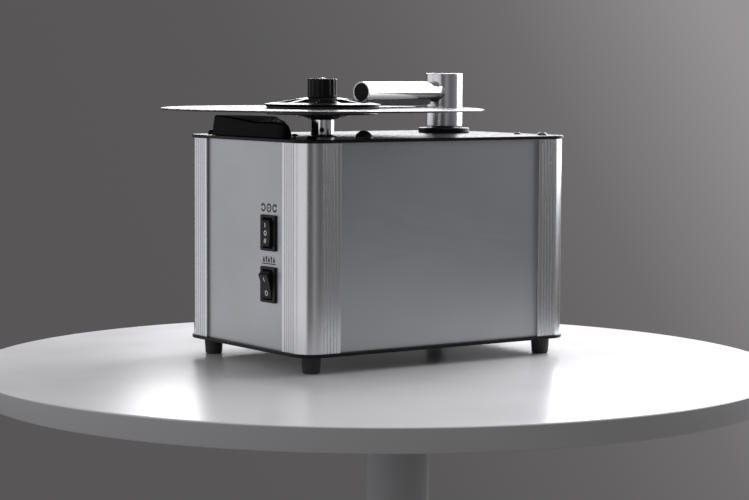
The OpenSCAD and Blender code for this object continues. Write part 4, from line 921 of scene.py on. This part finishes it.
class RECORD_CLEANER_OT_panel_marks(bpy.types.Operator):
    """Printed signs over the switches: a record between two turning arrows, and drops that
    arrows lift off a line"""

    bl_idname = "record_cleaner.panel_marks"
    bl_label = "Panel signs"

    # How far the signs' middle lies left of and above their switch, and how much they are enlarged
    aside, above, scale = 0.5, 6.4, 1.12

    def execute(self, context):
        upright = Matrix(((1, 0, 0, 0), (0, 0, -1, 0), (0, 1, 0, 0), (0, 0, 0, 1)))
        upright = upright @ Matrix.Diagonal((self.scale, self.scale, 1, 1))
        for name, draw in (("motor", self.turning), ("vacuum", self.lifting)):
            node = name + "_switch_housing"
            bm = bmesh.new()
            draw(bm)
            place = at(middle(node).x - self.aside, FRONT, high_of(node).z + self.above)
            bm.transform(place @ upright)
            show(name + "_sign", bm, "panel_mark_ink", "chassis")
        return {"FINISHED"}

    def patch(self, bm, outline):
        """A printed shape that stands 0.06 proud of the panel and reaches 0.03 into it"""
        absorb(bm, prism(outline, 0.09, 0.0, 1, at(0, 0, -0.03)))

    def band(self, bm, points, half):
        """A printed line of even width along points"""
        for a, b in zip(points, points[1:]):
            a, b = Vector(a), Vector(b)
            d = (b - a).normalized()
            n = Vector((-d.y, d.x)) * half
            lap = d * half * 0.12
            self.patch(bm, [a - lap + n, a - lap - n, b + lap - n, b + lap + n])

    def turning(self, bm):
        """A record between two arrows, for the two ways that the motor turns"""
        self.band(bm, arc(3.0, 0.0, 2 * math.pi, 36), 0.68)
        self.patch(bm, circle(0.9, 16))
        for side in (-1, 1):
            start, sweep = math.radians(90 - side * 30), math.radians(side * 285)
            points = [Vector(p) for p in arc(2.7, start, sweep, 24, side * 8.6)]
            self.band(bm, points, 0.7)
            ahead = (points[0] - points[1]).normalized()
            across = Vector((-ahead.y, ahead.x)) * 1.7
            self.patch(bm, [points[0] - across, points[0] + ahead * 2.4, points[0] + across])

    def lifting(self, bm):
        """Drops and arrows that lift them off a line, for the vacuum"""
        for x in (-7.6, 0.0, 7.6):
            belly = arc(1.5, math.radians(150), math.radians(240), 20, x, -0.9)
            self.patch(bm, belly + [(x, 3.0)])
        for x in (-3.8, 3.8):
            self.band(bm, [(x, -2.4), (x, 1.1)], 0.72)
            self.patch(bm, [(x - 1.75, 0.9), (x + 1.75, 0.9), (x, 3.2)])
        self.band(bm, [(-10.2, -3.4), (10.2, -3.4)], 0.45)


class RECORD_CLEANER_OT_spindle_drive(bpy.types.Operator):
    """The drive under the record: hub, grub screw, pin, platter and mat, and the motor with its
    bracket"""

    bl_idname = "record_cleaner.spindle_drive"
    bl_label = "Spindle and drive"

    def execute(self, context):
        soften(spindle_hub=0.25, hub_grub_screw=0.12, spindle_pin=0.2, motor_shaft=0.25)
        soften(spindle_bush=0.2)
        self.platter()
        self.mat()
        soften(spindle_motor=0.5, motor_gearbox=0.5, motor_bracket=0.5)
        return {"FINISHED"}

    def platter(self):
        low, high, r = round_of("platter_disc")
        bore = 6.55
        outline = [
            (bore, low, 0.15),
            (12.5, low, 0.6),
            (30.5, high - 3.1, 4.0),
            (r - 0.8, high - 3.3, 0.4),
            (r, high - 2.6, 0.4),
            (r, high - 0.5, 0.5),
            (r - 0.5, high, 0.4),
            (bore, high, 0.15),
        ]
        stand_for("platter_disc", on_spindle(rounded(outline, 4), 128))

    def mat(self):
        """Rubber mat with a fine groove every 5 mm"""
        low, high, r = round_of("platter_mat")
        bore = 7
        outline = [(bore, low, 0.1), (r, low, 0.2), (r, high, 0.3)]
        for k in range(8):
            ring = r - 3 - k * 5
            outline += [(ring, high, 0.1), (ring - 0.4, high - 0.25, 0.1), (ring - 0.8, high, 0.1)]
        outline.append((bore, high, 0.2))
        stand_for("platter_mat", on_spindle(rounded(outline, 2), 96))


class RECORD_CLEANER_OT_record(bpy.types.Operator):
    """The record on the platter, with its bead, playing bands and plain label"""

    bl_idname = "record_cleaner.record"
    bl_label = "Record"

    # Thickness of the label's paper
    paper = 0.055

    def execute(self, context):
        low, high, r = round_of("record")
        thick = high - low
        r -= 0.03
        land, groove = thick - 0.25, thick - 0.21
        under_label = thick - 0.06
        upper = [(PIN_HOLE, thick, 0.1), (4.6, thick, 0), (4.8, under_label, 0)]
        upper += [(49.8, under_label, 0), (50.1, thick, 0.05)]
        upper += [(54.6, thick, 0.3), (56.0, land, 0.4)]
        for inner, outer in TRACKS:
            upper += [(inner - 0.1, land, 0), (inner + 0.3, groove, 0)]
            upper += [(outer - 0.3, groove, 0), (outer + 0.1, land, 0)]
        upper += [(r - 3.4, land, 0.4), (r - 2.4, thick, 0.5), (r - 0.35, thick, 0.4)]
        upper.append((r, thick / 2 + 0.3, 0.5))
        under = [(x, thick - z, f) for x, z, f in reversed(upper)]
        stand_for("record", on_spindle(rounded(upper + under, 3), 256, low), sharp=50)
        for name, top in (("label_upper", thick), ("label_lower", self.paper)):
            foot = top - self.paper
            ring = on_spindle([(4.9, foot), (49.7, foot), (49.7, top), (4.9, top)], 96, low)
            show(name, ring, "label_paper", "platter")
        return {"FINISHED"}


class RECORD_CLEANER_OT_clamp(bpy.types.Operator):
    """The record clamp: a windowed disc, its seal and its fluted knob"""

    bl_idname = "record_cleaner.clamp"
    bl_label = "Clamp"

    # Inner radius and height of the disc's sloping top, and where it ends above the rim
    crown_r, crown_z = 16.1, 8.1
    rim_in, rim_z = 2.1, 2.5
    # A window's middle radius and half depth along it, its half width as an angle, the radius of
    # its corners, the width of its sloping wall and the height of its floor
    windows = 12
    window_r, window_half = 35.3, 10.15
    window_turn = math.radians(11.8)
    window_corner, window_wall, window_floor = 2.2, 0.45, 2.65
    # Angles in degrees from a window's middle at which the disc has vertices, on one side
    columns = (2.3, 4.7, 7, 9, 10.6, 11.2, 11.6, 11.9, 12.2, 13.4)
    # Height at which the knob's flutes start, how far they reach in from its side, their depth
    # and the radius of their hollow
    flute_z, flute_in, flute_depth, flute_r = 1.6, 1.6, 0.5, 2.0

    def execute(self, context):
        self.disc()
        self.seal()
        self.knob()
        return {"FINISHED"}

    def disc(self):
        low, _, rim = round_of("clamp_disc")
        end, fillet, bore = rim - self.rim_in, 0.3, 1.2
        side = [(41.7, 0, fillet), (rim - 1.8, 0, fillet), (rim, 1.7, fillet)]
        side += [(rim - 0.3, 2.2, 0.25), (end, self.rim_z, fillet)]
        fall = (self.crown_z - self.rim_z) / (end - self.crown_r)
        spots = [rim - 4.5] + [45.9 - k * 0.95 for k in range(24)]
        spots += [45.6, 45.3, 44.9, 25.7, 25.3, 25.0]
        centre = [(18.0, 7.9, 0), (16.4, self.crown_z, 0.4), (PIN_HOLE, self.crown_z, 0.2)]
        centre += [(PIN_HOLE, bore, 0.2), (41.4, bore, fillet)]
        outline = rounded(side, 3)
        for x in sorted(spots, reverse=True):
            outline.append(Vector((x, self.crown_z - (x - self.crown_r) * fall)))
        outline += rounded(centre, 3)[1:]
        offsets = [-15, *(-a for a in reversed(self.columns)), 0, *self.columns]
        bm = bmesh.new()
        rings = []
        for k in range(self.windows):
            for off in offsets:
                a = math.radians(k * 360 / self.windows + off)
                ring = []
                for x, z in outline:
                    z = self.sunk(x, z, math.radians(off))
                    point = (x * math.cos(a) * MM, x * math.sin(a) * MM, z * MM)
                    ring.append(bm.verts.new(point))
                rings.append(ring)
        walls(bm, rings, closed=True)
        bm.transform(at(SPINDLE.x, SPINDLE.y, low))
        stand_for("clamp_disc", bm, sharp=50)

    def sunk(self, x, z, off):
        """Height of the disc's top at radius x and angle off from a window's middle"""
        if z < 3.0:
            return z
        corner = self.window_corner
        u = abs(x - self.window_r) - (self.window_half - corner)
        v = abs(off) * x - (self.window_turn * x - corner)
        outside = math.hypot(max(u, 0), max(v, 0)) + min(max(u, v), 0) - corner
        share = min(1.0, max(0.0, -outside / self.window_wall))
        share = share * share * (3 - 2 * share)
        return z + (self.window_floor - z) * share

    def seal(self):
        low, high, r = round_of("clamp_seal")
        lip, arch = low + 0.5, low + 0.35
        outline = [(r - 9, high, 0.2), (r - 9, lip, 0.3), (r - 8, low, 0.5), (r - 5, arch, 0.6)]
        outline += [(r - 4, arch, 0.6), (r - 1, low, 0.5), (r, lip, 0.3), (r, high, 0.2)]
        stand_for("clamp_seal", on_spindle(rounded(outline, 3), 96))

    def knob(self):
        low, high, r = round_of("clamp_knob")
        tall = high - low
        floor = tall - 0.35
        outline = [(PIN_HOLE, 0, 0), (r - 0.4, 0, 0.3), (r, 0.5, 0.3)]
        outline += [(r, z, 0) for z in (1.6, 2.0, 2.4, 2.8)]
        outline += [(r, tall - 0.9, 0.35), (r - 0.8, tall, 0.4), (r - 2.2, tall, 0.3)]
        outline += [(r - 2.7, floor, 0.3), (6.2, floor, 0.3), (5.6, tall, 0.3)]
        outline.append((PIN_HOLE, tall, 0.3))
        count = sizes().flutes
        pitch = 2 * math.pi / count

        def fluted(radius, height, angle):
            if radius < r - self.flute_in or height < self.flute_z:
                return radius, height
            off = (angle + pitch / 2) % pitch - pitch / 2
            deep = max(0.0, self.flute_depth - (off * r) ** 2 / (2 * self.flute_r))
            return radius - deep * min(1.0, (height - self.flute_z) / 1.2), height

        bm = on_spindle(rounded(outline, 3), count * 14, low, fluted)
        stand_for("clamp_knob", bm, sharp=45)


class RECORD_CLEANER_OT_vacuum_arm(bpy.types.Operator):
    """The vacuum arm: flange, bush, stem, post, tube, collar and end cap"""

    bl_idname = "record_cleaner.vacuum_arm"
    bl_label = "Vacuum arm"

    # The collar's bore and its outer radius at the tube's end and at the post
    bore, thin, thick = 10.06, 10.16, 11.6

    def execute(self, context):
        softened("arm_flange", 0.5, rounds=3)
        soften(stem_bush=0.3, arm_stem=0.3)
        softened("arm_post", 0.5, rounds=3)
        soften(post_cap=0.35, arm_tube=0.22)
        self.collar()
        softened("arm_end_cap", 0.6, rounds=3)
        return {"FINISHED"}

    def collar(self):
        """Hollow-cheeked ring that leads from the tube into the post"""
        place = at(POST.x, POST.y, TUBE_Z) @ ARM_TURN @ Matrix.Rotation(math.pi / 2, 4, "Y")
        post_r = round_of("arm_post")[2]
        root = math.sqrt(post_r**2 - self.thick**2) - 0.2
        start, end = root + 0.6, post_r + 2.6
        outline = [(self.bore, root), (self.thick, root), (self.thick, start)]
        for k in range(1, 9):
            share = k / 8
            radius = self.thin + (self.thick - self.thin) * (1 - share) ** 2
            outline.append((radius, start + (end - start) * share))
        outline.append((self.bore, end))
        stand_for("arm_collar", turned(outline, place, 72))


class RECORD_CLEANER_OT_velvet_pads(bpy.types.Operator):
    """The two velvet pads beside the arm's slot, with a short pile"""

    bl_idname = "record_cleaner.velvet_pads"
    bl_label = "Velvet pads"

    # The pads' ends along the arm and sides across it, and the tube's radius with its play
    start, end = 31.75, 131.0
    near, far = 2.5, 7.5
    tube_r = 10.06

    def execute(self, context):
        node = "velvet_pads"
        place = at(POST.x, POST.y, 0) @ ARM_TURN
        low = low_of(node).z
        chance = random.Random(7)
        count = 60
        bm = bmesh.new()
        for side in (-1, 1):
            rings = []
            for i in range(count + 1):
                x = self.start + (self.end - self.start) * i / count
                pinch = 0.5 * max(0.0, 1 - min(i, count - i) / 2.5)
                outline = self.section(0.3 + pinch, low + 0.45 + pinch)
                points = [place @ (Vector((x, side * y, z)) * MM) for y, z in outline]
                rings.append([bm.verts.new(point) for point in points])
            walls_and_ends(bm, rings)
            for _ in range(sizes().pile_tufts):
                self.tuft(bm, place, chance, side, low)
        stand_for(node, bm, sharp=60)
        return {"FINISHED"}

    def section(self, draw, low):
        """The pad's section, drawn in at both sides, from its inner upper corner round its lower
        face and back under the tube"""

        def tube(y):
            return TUBE_Z - math.sqrt(max(0.0, self.tube_r**2 - y * y))

        near, far = self.near + draw, self.far - draw
        mid = (near + far) / 2
        half = (far - near) / 2
        r = 1.0
        points = [(near, tube(near)), (near, low + r)]
        for k in range(1, 8):
            a = math.pi * (1 + k / 8)
            points.append((mid + half * math.cos(a), low + r + r * math.sin(a)))
        points += [(far, low + r), (far, tube(far))]
        points += [(mid + half * t, tube(mid + half * t)) for t in (0.5, 0.0, -0.5)]
        return points

    def tuft(self, bm, place, chance, side, low):
        """One tuft of the pile, out of the pad's lower face or one of its sides"""
        near, far, vary = self.near, self.far, chance.uniform
        x = vary(self.start + 0.4, self.end - 0.4)
        if chance.random() < 0.62:
            y = vary(near + 0.5, far - 0.5)
            root = Vector((x, y, low + 0.75))
            tip = Vector((x + vary(-0.12, 0.12), y + vary(-0.12, 0.12), low + vary(0.02, 0.2)))
        else:
            outer = chance.random() < 0.5
            z = vary(low + 0.8, low + 4.5)
            root = Vector((x, far - 0.35 if outer else near + 0.35, z))
            tip_y = far - 0.02 if outer else near + 0.02
            tip = Vector((x + vary(-0.15, 0.15), tip_y, z - vary(0.05, 0.3)))
        ahead = (tip - root).normalized()
        one = ahead.orthogonal().normalized() * 0.13
        two = ahead.cross(one)
        flip = Vector((1, side, 1))
        base = [root + one, root - one * 0.5 + two * 0.87, root - one * 0.5 - two * 0.87]
        corners = [bm.verts.new(place @ (p * flip * MM)) for p in base]
        peak = bm.verts.new(place @ (tip * flip * MM))
        for i in range(3):
            bm.faces.new((corners[i], corners[(i + 1) % 3], peak))
        bm.faces.new(list(reversed(corners)))


class RECORD_CLEANER_OT_exhaust_hood(bpy.types.Operator):
    """The glossy hood over the exhaust opening, with its two screw tabs"""

    bl_idname = "record_cleaner.exhaust_hood"
    bl_label = "Exhaust hood"

    # Left end, front and rear of the hood and its length, height and height at its low front
    x0, y0, y1 = -79.5, -140.0, -112.0
    length, height, low = 127.0, 18.5, 14.0
    wall = 2.0
    # Places along it, each with the front and rear height, how far both sides draw in, how far
    # the outline's top leans to the right and how far the rear side alone comes forward
    stations = (
        (0, 17.3, 17.3, 0.8, 3, 0),
        (1.6, 18.5, 18.5, 0, 3, 0),
        (20, 18.5, 18.5, 0, 0, 0),
        (73.66, 14.0, 18.5, 0, 0, 0),
        (87, 14.0, 16.6, 0, 0, 5.37),
        (107, 14.0, 14.94, 0, 0, 12.77),
        (120, 13.72, 11.62, 0, 0, 17.39),
        (125, 13.16, 7.97, 0.4, 0, 18.5),
        (127, 11.2, 5.31, 1.6, 0, 17.58),
    )
    # Each tab's screw place, its reach along X and its hole's diameter
    tabs = (-85.0, -134.0, 8.5, 4.9), (52.5, -131.0, -17.0, 3.4)
    tab_r = 5.5

    def execute(self, context):
        bm = carved(self.loft(self.skin()), self.loft(self.hollow()))
        break_edges(bm, 0.25, 50)
        for tab in self.tabs:
            absorb(bm, self.tab(*tab))
        bm.transform(at(0, 0, LID_TOP))
        stand_for("exhaust_hood", bm, sharp=40)
        return {"FINISHED"}

    def between(self, x):
        """What the stations give, blended at x"""
        for a, b in zip(self.stations, self.stations[1:]):
            if x <= b[0]:
                t = (x - a[0]) / (b[0] - a[0])
                return [p + (q - p) * t for p, q in zip(a[1:], b[1:])]
        return self.stations[-1][1:]

    def skin(self):
        length = self.length
        spots = [0, 0.15, 0.4, 0.8, 1.2, 1.6, 3]
        spots += [6 + (length - 26) * k / 22 for k in range(23)]
        spots += [length - 20 + 20 * math.sin(math.pi / 2 * k / 16) for k in range(17)]
        places = sorted(set(round(s, 3) for s in spots))
        return [self.ring(self.x0 + x, *self.between(x)) for x in places]

    def ring(self, x, front, rear, draw, tip, back):
        y0, y1 = self.y0 + draw, self.y1 - draw - back
        c = min(sizes().hood_edge, front / 2, rear / 2)
        lean = front * 0.06
        slope = tip / self.height
        points = [(y0, 0.0), (y0 + lean * 0.5, (front - c) * 0.5)]
        points += arc(c, math.pi, -math.pi / 2, 6, y0 + lean + c, front - c)
        points.append(((y0 + y1) / 2, (front + rear) / 2))
        points += arc(c, math.pi / 2, -math.pi / 2, 6, y1 - c, rear - c)
        points += [(y1, (rear - c) * 0.5), (y1, 0.0)]
        return [Vector((x + slope * z, y, z)) for y, z in points]

    def hollow(self):
        wall, height, length, over = self.wall, self.height, self.length, 0.2
        spots = [(wall + 3, height, height), (20, height, height)]
        spots += [(length * 0.58, self.low, height), (length - 46, self.low, 17.3)]
        near, far = self.y0 + wall + 1, self.y1 + over
        rings = []
        for x, front, rear in spots:
            section = ((near, -over), (near, front - wall), (far, rear - wall), (far, -over))
            rings.append([Vector((self.x0 + x, y, z)) for y, z in section])
        return rings

    @staticmethod
    def loft(rings):
        bm = bmesh.new()
        walls_and_ends(bm, [[bm.verts.new(p * MM) for p in ring] for ring in rings])
        return bm

    def tab(self, x, y, reach, hole):
        """Flat ear that runs from the hood to its screw; reach is along X"""
        r = self.tab_r
        toward = math.pi if reach > 0 else -math.pi
        outline = arc(r, toward / 2, toward, 12) + [(reach, -r), (reach, r)]
        body = prism(outline, 2.0, 0.35, 3, at(x, y, 0))
        return carved(body, prism(circle(hole / 2, 24), 3.0, 0.0, 1, at(x, y, -0.5)))


class RECORD_CLEANER_OT_rear_fittings(bpy.types.Operator):
    """Mains inlet, drain spout and its red cap on the rear panel"""

    bl_idname = "record_cleaner.rear_fittings"
    bl_label = "Rear fittings"

    def execute(self, context):
        soften(power_inlet=sizes().plastic_edge * 0.8, drain_spout=0.3, drain_cap=0.35)
        return {"FINISHED"}


class RECORD_CLEANER_OT_vacuum_unit(bpy.types.Operator):
    """The vacuum motor, fan and their box, and the duct up to the hood"""

    bl_idname = "record_cleaner.vacuum_unit"
    bl_label = "Vacuum unit"

    def execute(self, context):
        soften(motor_box=0.6, exhaust_duct=0.3, vacuum_motor=0.6, fan_cover=0.3)
        soften(fan_impeller=0.15)
        return {"FINISHED"}


class RECORD_CLEANER_OT_waste_tank(bpy.types.Operator):
    """The waste tank with its lid, hanger and lift spring, the ribbed hose and the wiring"""

    bl_idname = "record_cleaner.waste_tank"
    bl_label = "Waste tank and hose"

    # How far the spring shortens, a hair more than the arm goes down
    lift_travel = 1.05
    # Thickness of the hose's wall and depth of the hollows between its ribs
    hose_wall, hose_rib = 2.45, 1.1

    def execute(self, context):
        soften(waste_tank=0.5, tank_lid=0.4, tank_hanger=0.2)
        self.hose()
        self.spring()
        mesh = frame["nodes"]["wiring"].data
        mesh.materials.clear()
        mesh.materials.append(finish(SLOTS["wiring"]))
        return {"FINISHED"}

    def spring(self):
        """The coil: the node's own shape, copied, with a mesh of its own"""
        node = "lift_spring"
        coil = stand_for(node, copied(node))
        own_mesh(coil)

    def hose(self):
        """Ribbed tube up from one open end, over a half circle and down to the other"""
        node = "suction_hose"
        low, high = low_of(node), high_of(node)
        x = (low.x + high.x) / 2
        outer = (high.x - low.x) / 2
        y0, y1 = low.y + outer, high.y - outer
        bend = (y1 - y0) / 2
        top = high.z - outer - bend
        pitch = sizes().rib_pitch

        def leg(y):
            """Points from the bend down to the open end at y"""
            near = [v.co for v in frame["nodes"][node].data.vertices]
            foot = min(v.z for v in near if abs(v.y / MM - y) < 20) / MM
            steps = max(1, round((top - foot) / 0.5))
            return [(x, y, top - (top - foot) * k / steps) for k in range(1, steps + 1)]

        def ribbed(along):
            wave = 0.5 + 0.5 * math.cos(2 * math.pi * along / pitch)
            return outer - 0.05 - self.hose_rib * (1 - wave**0.6)

        over = arc(bend, math.pi, -math.pi, 300, (y0 + y1) / 2, top)
        path = leg(y0)[::-1] + [(x, y, z) for y, z in over] + leg(y1)
        bm = bmesh.new()
        swept(bm, path, 40, ribbed)
        swept(bm, path[::6] + [path[-1]], 40, lambda along: outer - self.hose_wall)
        loops = [e for e in bm.edges if e.is_boundary]
        first = [e for e in loops if abs(e.verts[0].co.y / MM - y0) < outer + 1]
        bmesh.ops.bridge_loops(bm, edges=first)
        bmesh.ops.bridge_loops(bm, edges=[e for e in bm.edges if e.is_boundary])
        stand_for(node, bm, sharp=60)


class RECORD_CLEANER_OT_stage(bpy.types.Operator):
    """Round pale table, grey room, soft lamps and the camera"""

    bl_idname = "record_cleaner.stage"
    bl_label = "Stage"

    # Each lamp's place and size, in metres
    lamps = {
        "left": ((-1.45, -1.2, 0.35), (2.0, 1.5)),
        "near": ((0.2, -1.89, 0.35), (1.9, 1.5)),
        "right": ((0.0, 1.5, 0.72), (1.9, 1.35)),
        "back": ((-1.2, 1.4, 0.92), (2.0, 0.8)),
        "top": ((0.1, 0.1, 1.7), (1.2, 1.2)),
    }
    lamp_colour = (0.97, 0.965, 1.0)
    # Where they point, in metres
    lamp_aim = (0, 0, 0.12)
    # Way in which the backdrop goes from dark to light, how far it is moved along it, and its
    # tones at places along it
    backdrop_way, backdrop_shift = (0.52, 0.73, 0.45), 0.15
    backdrop_ends = (0.0, (0.098, 0.0935, 0.0956, 1)), (0.95, (0.16, 0.16, 0.165, 1))
    backdrop = (
        (0.09, 0.102),
        (0.16, 0.125),
        (0.21, 0.156),
        (0.25, 0.22),
        (0.295, 0.305),
        (0.35, 0.33),
        (0.5, 0.2),
        (0.7, 0.1),
    )
    # Middles of the table top and of its column, in millimetres
    top_place, column_place = (57, -41, 0), (68, -25, 0)
    # The camera's place in millimetres, and its turn, tilt and roll in degrees
    camera_place = (1752, -1245, 278)
    camera_turn, camera_tilt, camera_roll = 54.69, 85.21, 0.29
    # How far its picture is moved up, as a share of the picture's width
    camera_shift = 0.0033

    def execute(self, context):
        stage = context.scene.record_cleaner_stage
        self.table(stage)
        self.room(stage)
        for name, (place, size) in self.lamps.items():
            self.lamp(name, place, size, getattr(stage, name + "_power"))
        self.camera(context, stage)
        context.scene.view_settings.view_transform = "Standard"
        return {"FINISHED"}

    def table(self, stage):
        r = stage.table_radius / MM
        thick, edge = 22, 1.2
        outline = [(0, -thick, 0), (r - 5, -thick, 2), (r, -edge, 1.0), (r - edge, 0, 0.8)]
        bm = turned(rounded(outline + [(0, 0, 0)], 4), at(*self.top_place), 256)
        coat = self.stand("table_top", bm, stage.table_colour, 0.25)
        # Painted shade: below the top face, the edge band takes the darker rim colour, standing for
        # the shadow on the table's side
        height = coat.add("SeparateXYZ", {"Vector": coat.place}).outputs["Z"]
        share = coat.spread(height, 0.0, 1.0, -edge * MM, -0.4 * MM)
        ends = (0.0, (*stage.rim_colour, 1.0)), (1.0, (*stage.table_colour, 1.0))
        coat.link(coat.ramp(share, *ends), "Base Color")
        r, foot, head = 30, -600, -thick - 1
        outline = rounded([(0, foot, 0), (r, foot, 0), (r, head, 0), (0, head, 0)])
        column = turned(outline, at(*self.column_place), 96)
        self.stand("table_column", column, stage.column_colour, 0.35)

    @staticmethod
    def stand(name, bm, colour, roughness):
        """A piece of the table in a nearly even finish, which is returned"""
        gloss = (9, 2, roughness - 0.02, roughness + 0.02)
        coat = mottled(name, colour, roughness, 0, (6, 2, 0.01), gloss)
        piece = coated(into_scene(name, bm), coat.material, 40)
        return coat

    def room(self, stage):
        """Plain light from all round, with a grey backdrop for what is seen or mirrored"""
        world = bpy.context.scene.world or bpy.data.worlds.new("room")
        bpy.context.scene.world = world
        world.use_nodes = True
        world.node_tree.nodes.clear()
        nodes = Nodes(world.node_tree)
        light = nodes.add("Background", {"Color": (1, 1, 1, 1), "Strength": stage.ambient})
        place = nodes.add("TexCoord").outputs["Generated"]
        inputs = {0: place, 1: self.backdrop_way}
        along = nodes.add("VectorMath", inputs, operation="DOT_PRODUCT").outputs["Value"]
        share = nodes.math("ADD", along, self.backdrop_shift)
        tones = [(spot, (tone, tone * 0.96, tone * 0.98, 1)) for spot, tone in self.backdrop]
        tone = nodes.ramp(share, *self.backdrop_ends, tones)
        seen = nodes.add("Background", {"Color": tone, "Strength": 1.0})
        rays = nodes.add("LightPath").outputs
        either = nodes.math("MAXIMUM", rays["Is Camera Ray"], rays["Is Glossy Ray"])
        any_of = nodes.math("MAXIMUM", either, rays["Is Transmission Ray"])
        mix = nodes.add("MixShader", {0: any_of, 1: light.outputs[0], 2: seen.outputs[0]})
        nodes.add("OutputWorld", {"Surface": mix.outputs[0]})

    def lamp(self, name, place, size, power):
        """Soft lamp that points at the machine's middle"""
        data = bpy.data.lights.new(name, "AREA")
        data.shape = "RECTANGLE"
        data.size, data.size_y = size
        data.energy = power
        data.color = self.lamp_colour
        lamp = bpy.data.objects.new(name, data)
        bpy.context.scene.collection.objects.link(lamp)
        lamp.location = place
        ahead = Vector(self.lamp_aim) - Vector(place)
        lamp.rotation_euler = ahead.to_track_quat("-Z", "Y").to_euler()

    def camera(self, context, stage):
        data = bpy.data.cameras.new("camera")
        data.lens = stage.focal_length
        data.sensor_width = 36.0
        data.sensor_fit = "HORIZONTAL"
        data.clip_start = 0.05
        data.shift_y = self.camera_shift
        camera = bpy.data.objects.new("camera", data)
        context.scene.collection.objects.link(camera)
        matrix = at(*self.camera_place)
        turns = ((self.camera_turn, "Z"), (self.camera_tilt, "X"), (self.camera_roll, "Z"))
        for degrees, axis in turns:
            matrix = matrix @ Matrix.Rotation(math.radians(degrees), 4, axis)
        camera.matrix_world = matrix
        context.scene.camera = camera


STEPS = (
    RECORD_CLEANER_OT_case_plates,
    RECORD_CLEANER_OT_corner_profiles,
    RECORD_CLEANER_OT_panels,
    RECORD_CLEANER_OT_switches,
    RECORD_CLEANER_OT_panel_marks,
    RECORD_CLEANER_OT_spindle_drive,
    RECORD_CLEANER_OT_record,
    RECORD_CLEANER_OT_clamp,
    RECORD_CLEANER_OT_vacuum_arm,
    RECORD_CLEANER_OT_velvet_pads,
    RECORD_CLEANER_OT_exhaust_hood,
    RECORD_CLEANER_OT_rear_fittings,
    RECORD_CLEANER_OT_vacuum_unit,
    RECORD_CLEANER_OT_waste_tank,
    RECORD_CLEANER_OT_stage,
)


class RECORD_CLEANER_PT_sidebar(bpy.types.Panel):
    """Lists the settings and the steps that make the machine"""

    bl_idname = "RECORD_CLEANER_PT_sidebar"
    bl_label = "Record Cleaner"
    bl_space_type = "VIEW_3D"
    bl_region_type = "UI"
    bl_category = "Record Cleaner"

    def draw(self, context):
        for name, (title, _) in GROUPS.items():
            group = getattr(context.scene, name)
            box = self.layout.box()
            box.label(text=title)
            for setting in group.__annotations__:
                box.prop(group, setting)
        column = self.layout.column(align=True)
        for step in STEPS:
            column.operator(step.bl_idname)


GROUPS = {
    "record_cleaner_colours": ("Colours", RecordCleanerColours),
    "record_cleaner_sizes": ("Sizes", RecordCleanerSizes),
    "record_cleaner_stage": ("Stage", RecordCleanerStage),
}


def register():
    for _, group in GROUPS.values():
        bpy.utils.register_class(group)
    for step in STEPS:
        bpy.utils.register_class(step)
    bpy.utils.register_class(RECORD_CLEANER_PT_sidebar)
    for name, (_, group) in GROUPS.items():
        setattr(bpy.types.Scene, name, PointerProperty(type=group))


def unregister():
    for name in GROUPS:
        delattr(bpy.types.Scene, name)
    bpy.utils.unregister_class(RECORD_CLEANER_PT_sidebar)
    for step in reversed(STEPS):
        bpy.utils.unregister_class(step)
    for _, group in reversed(list(GROUPS.values())):
        bpy.utils.unregister_class(group)


def main():
    register()
    for step in STEPS:
        family, _, action = step.bl_idname.partition(".")
        getattr(getattr(bpy.ops, family), action)()


if __name__ == "__main__":
    main()
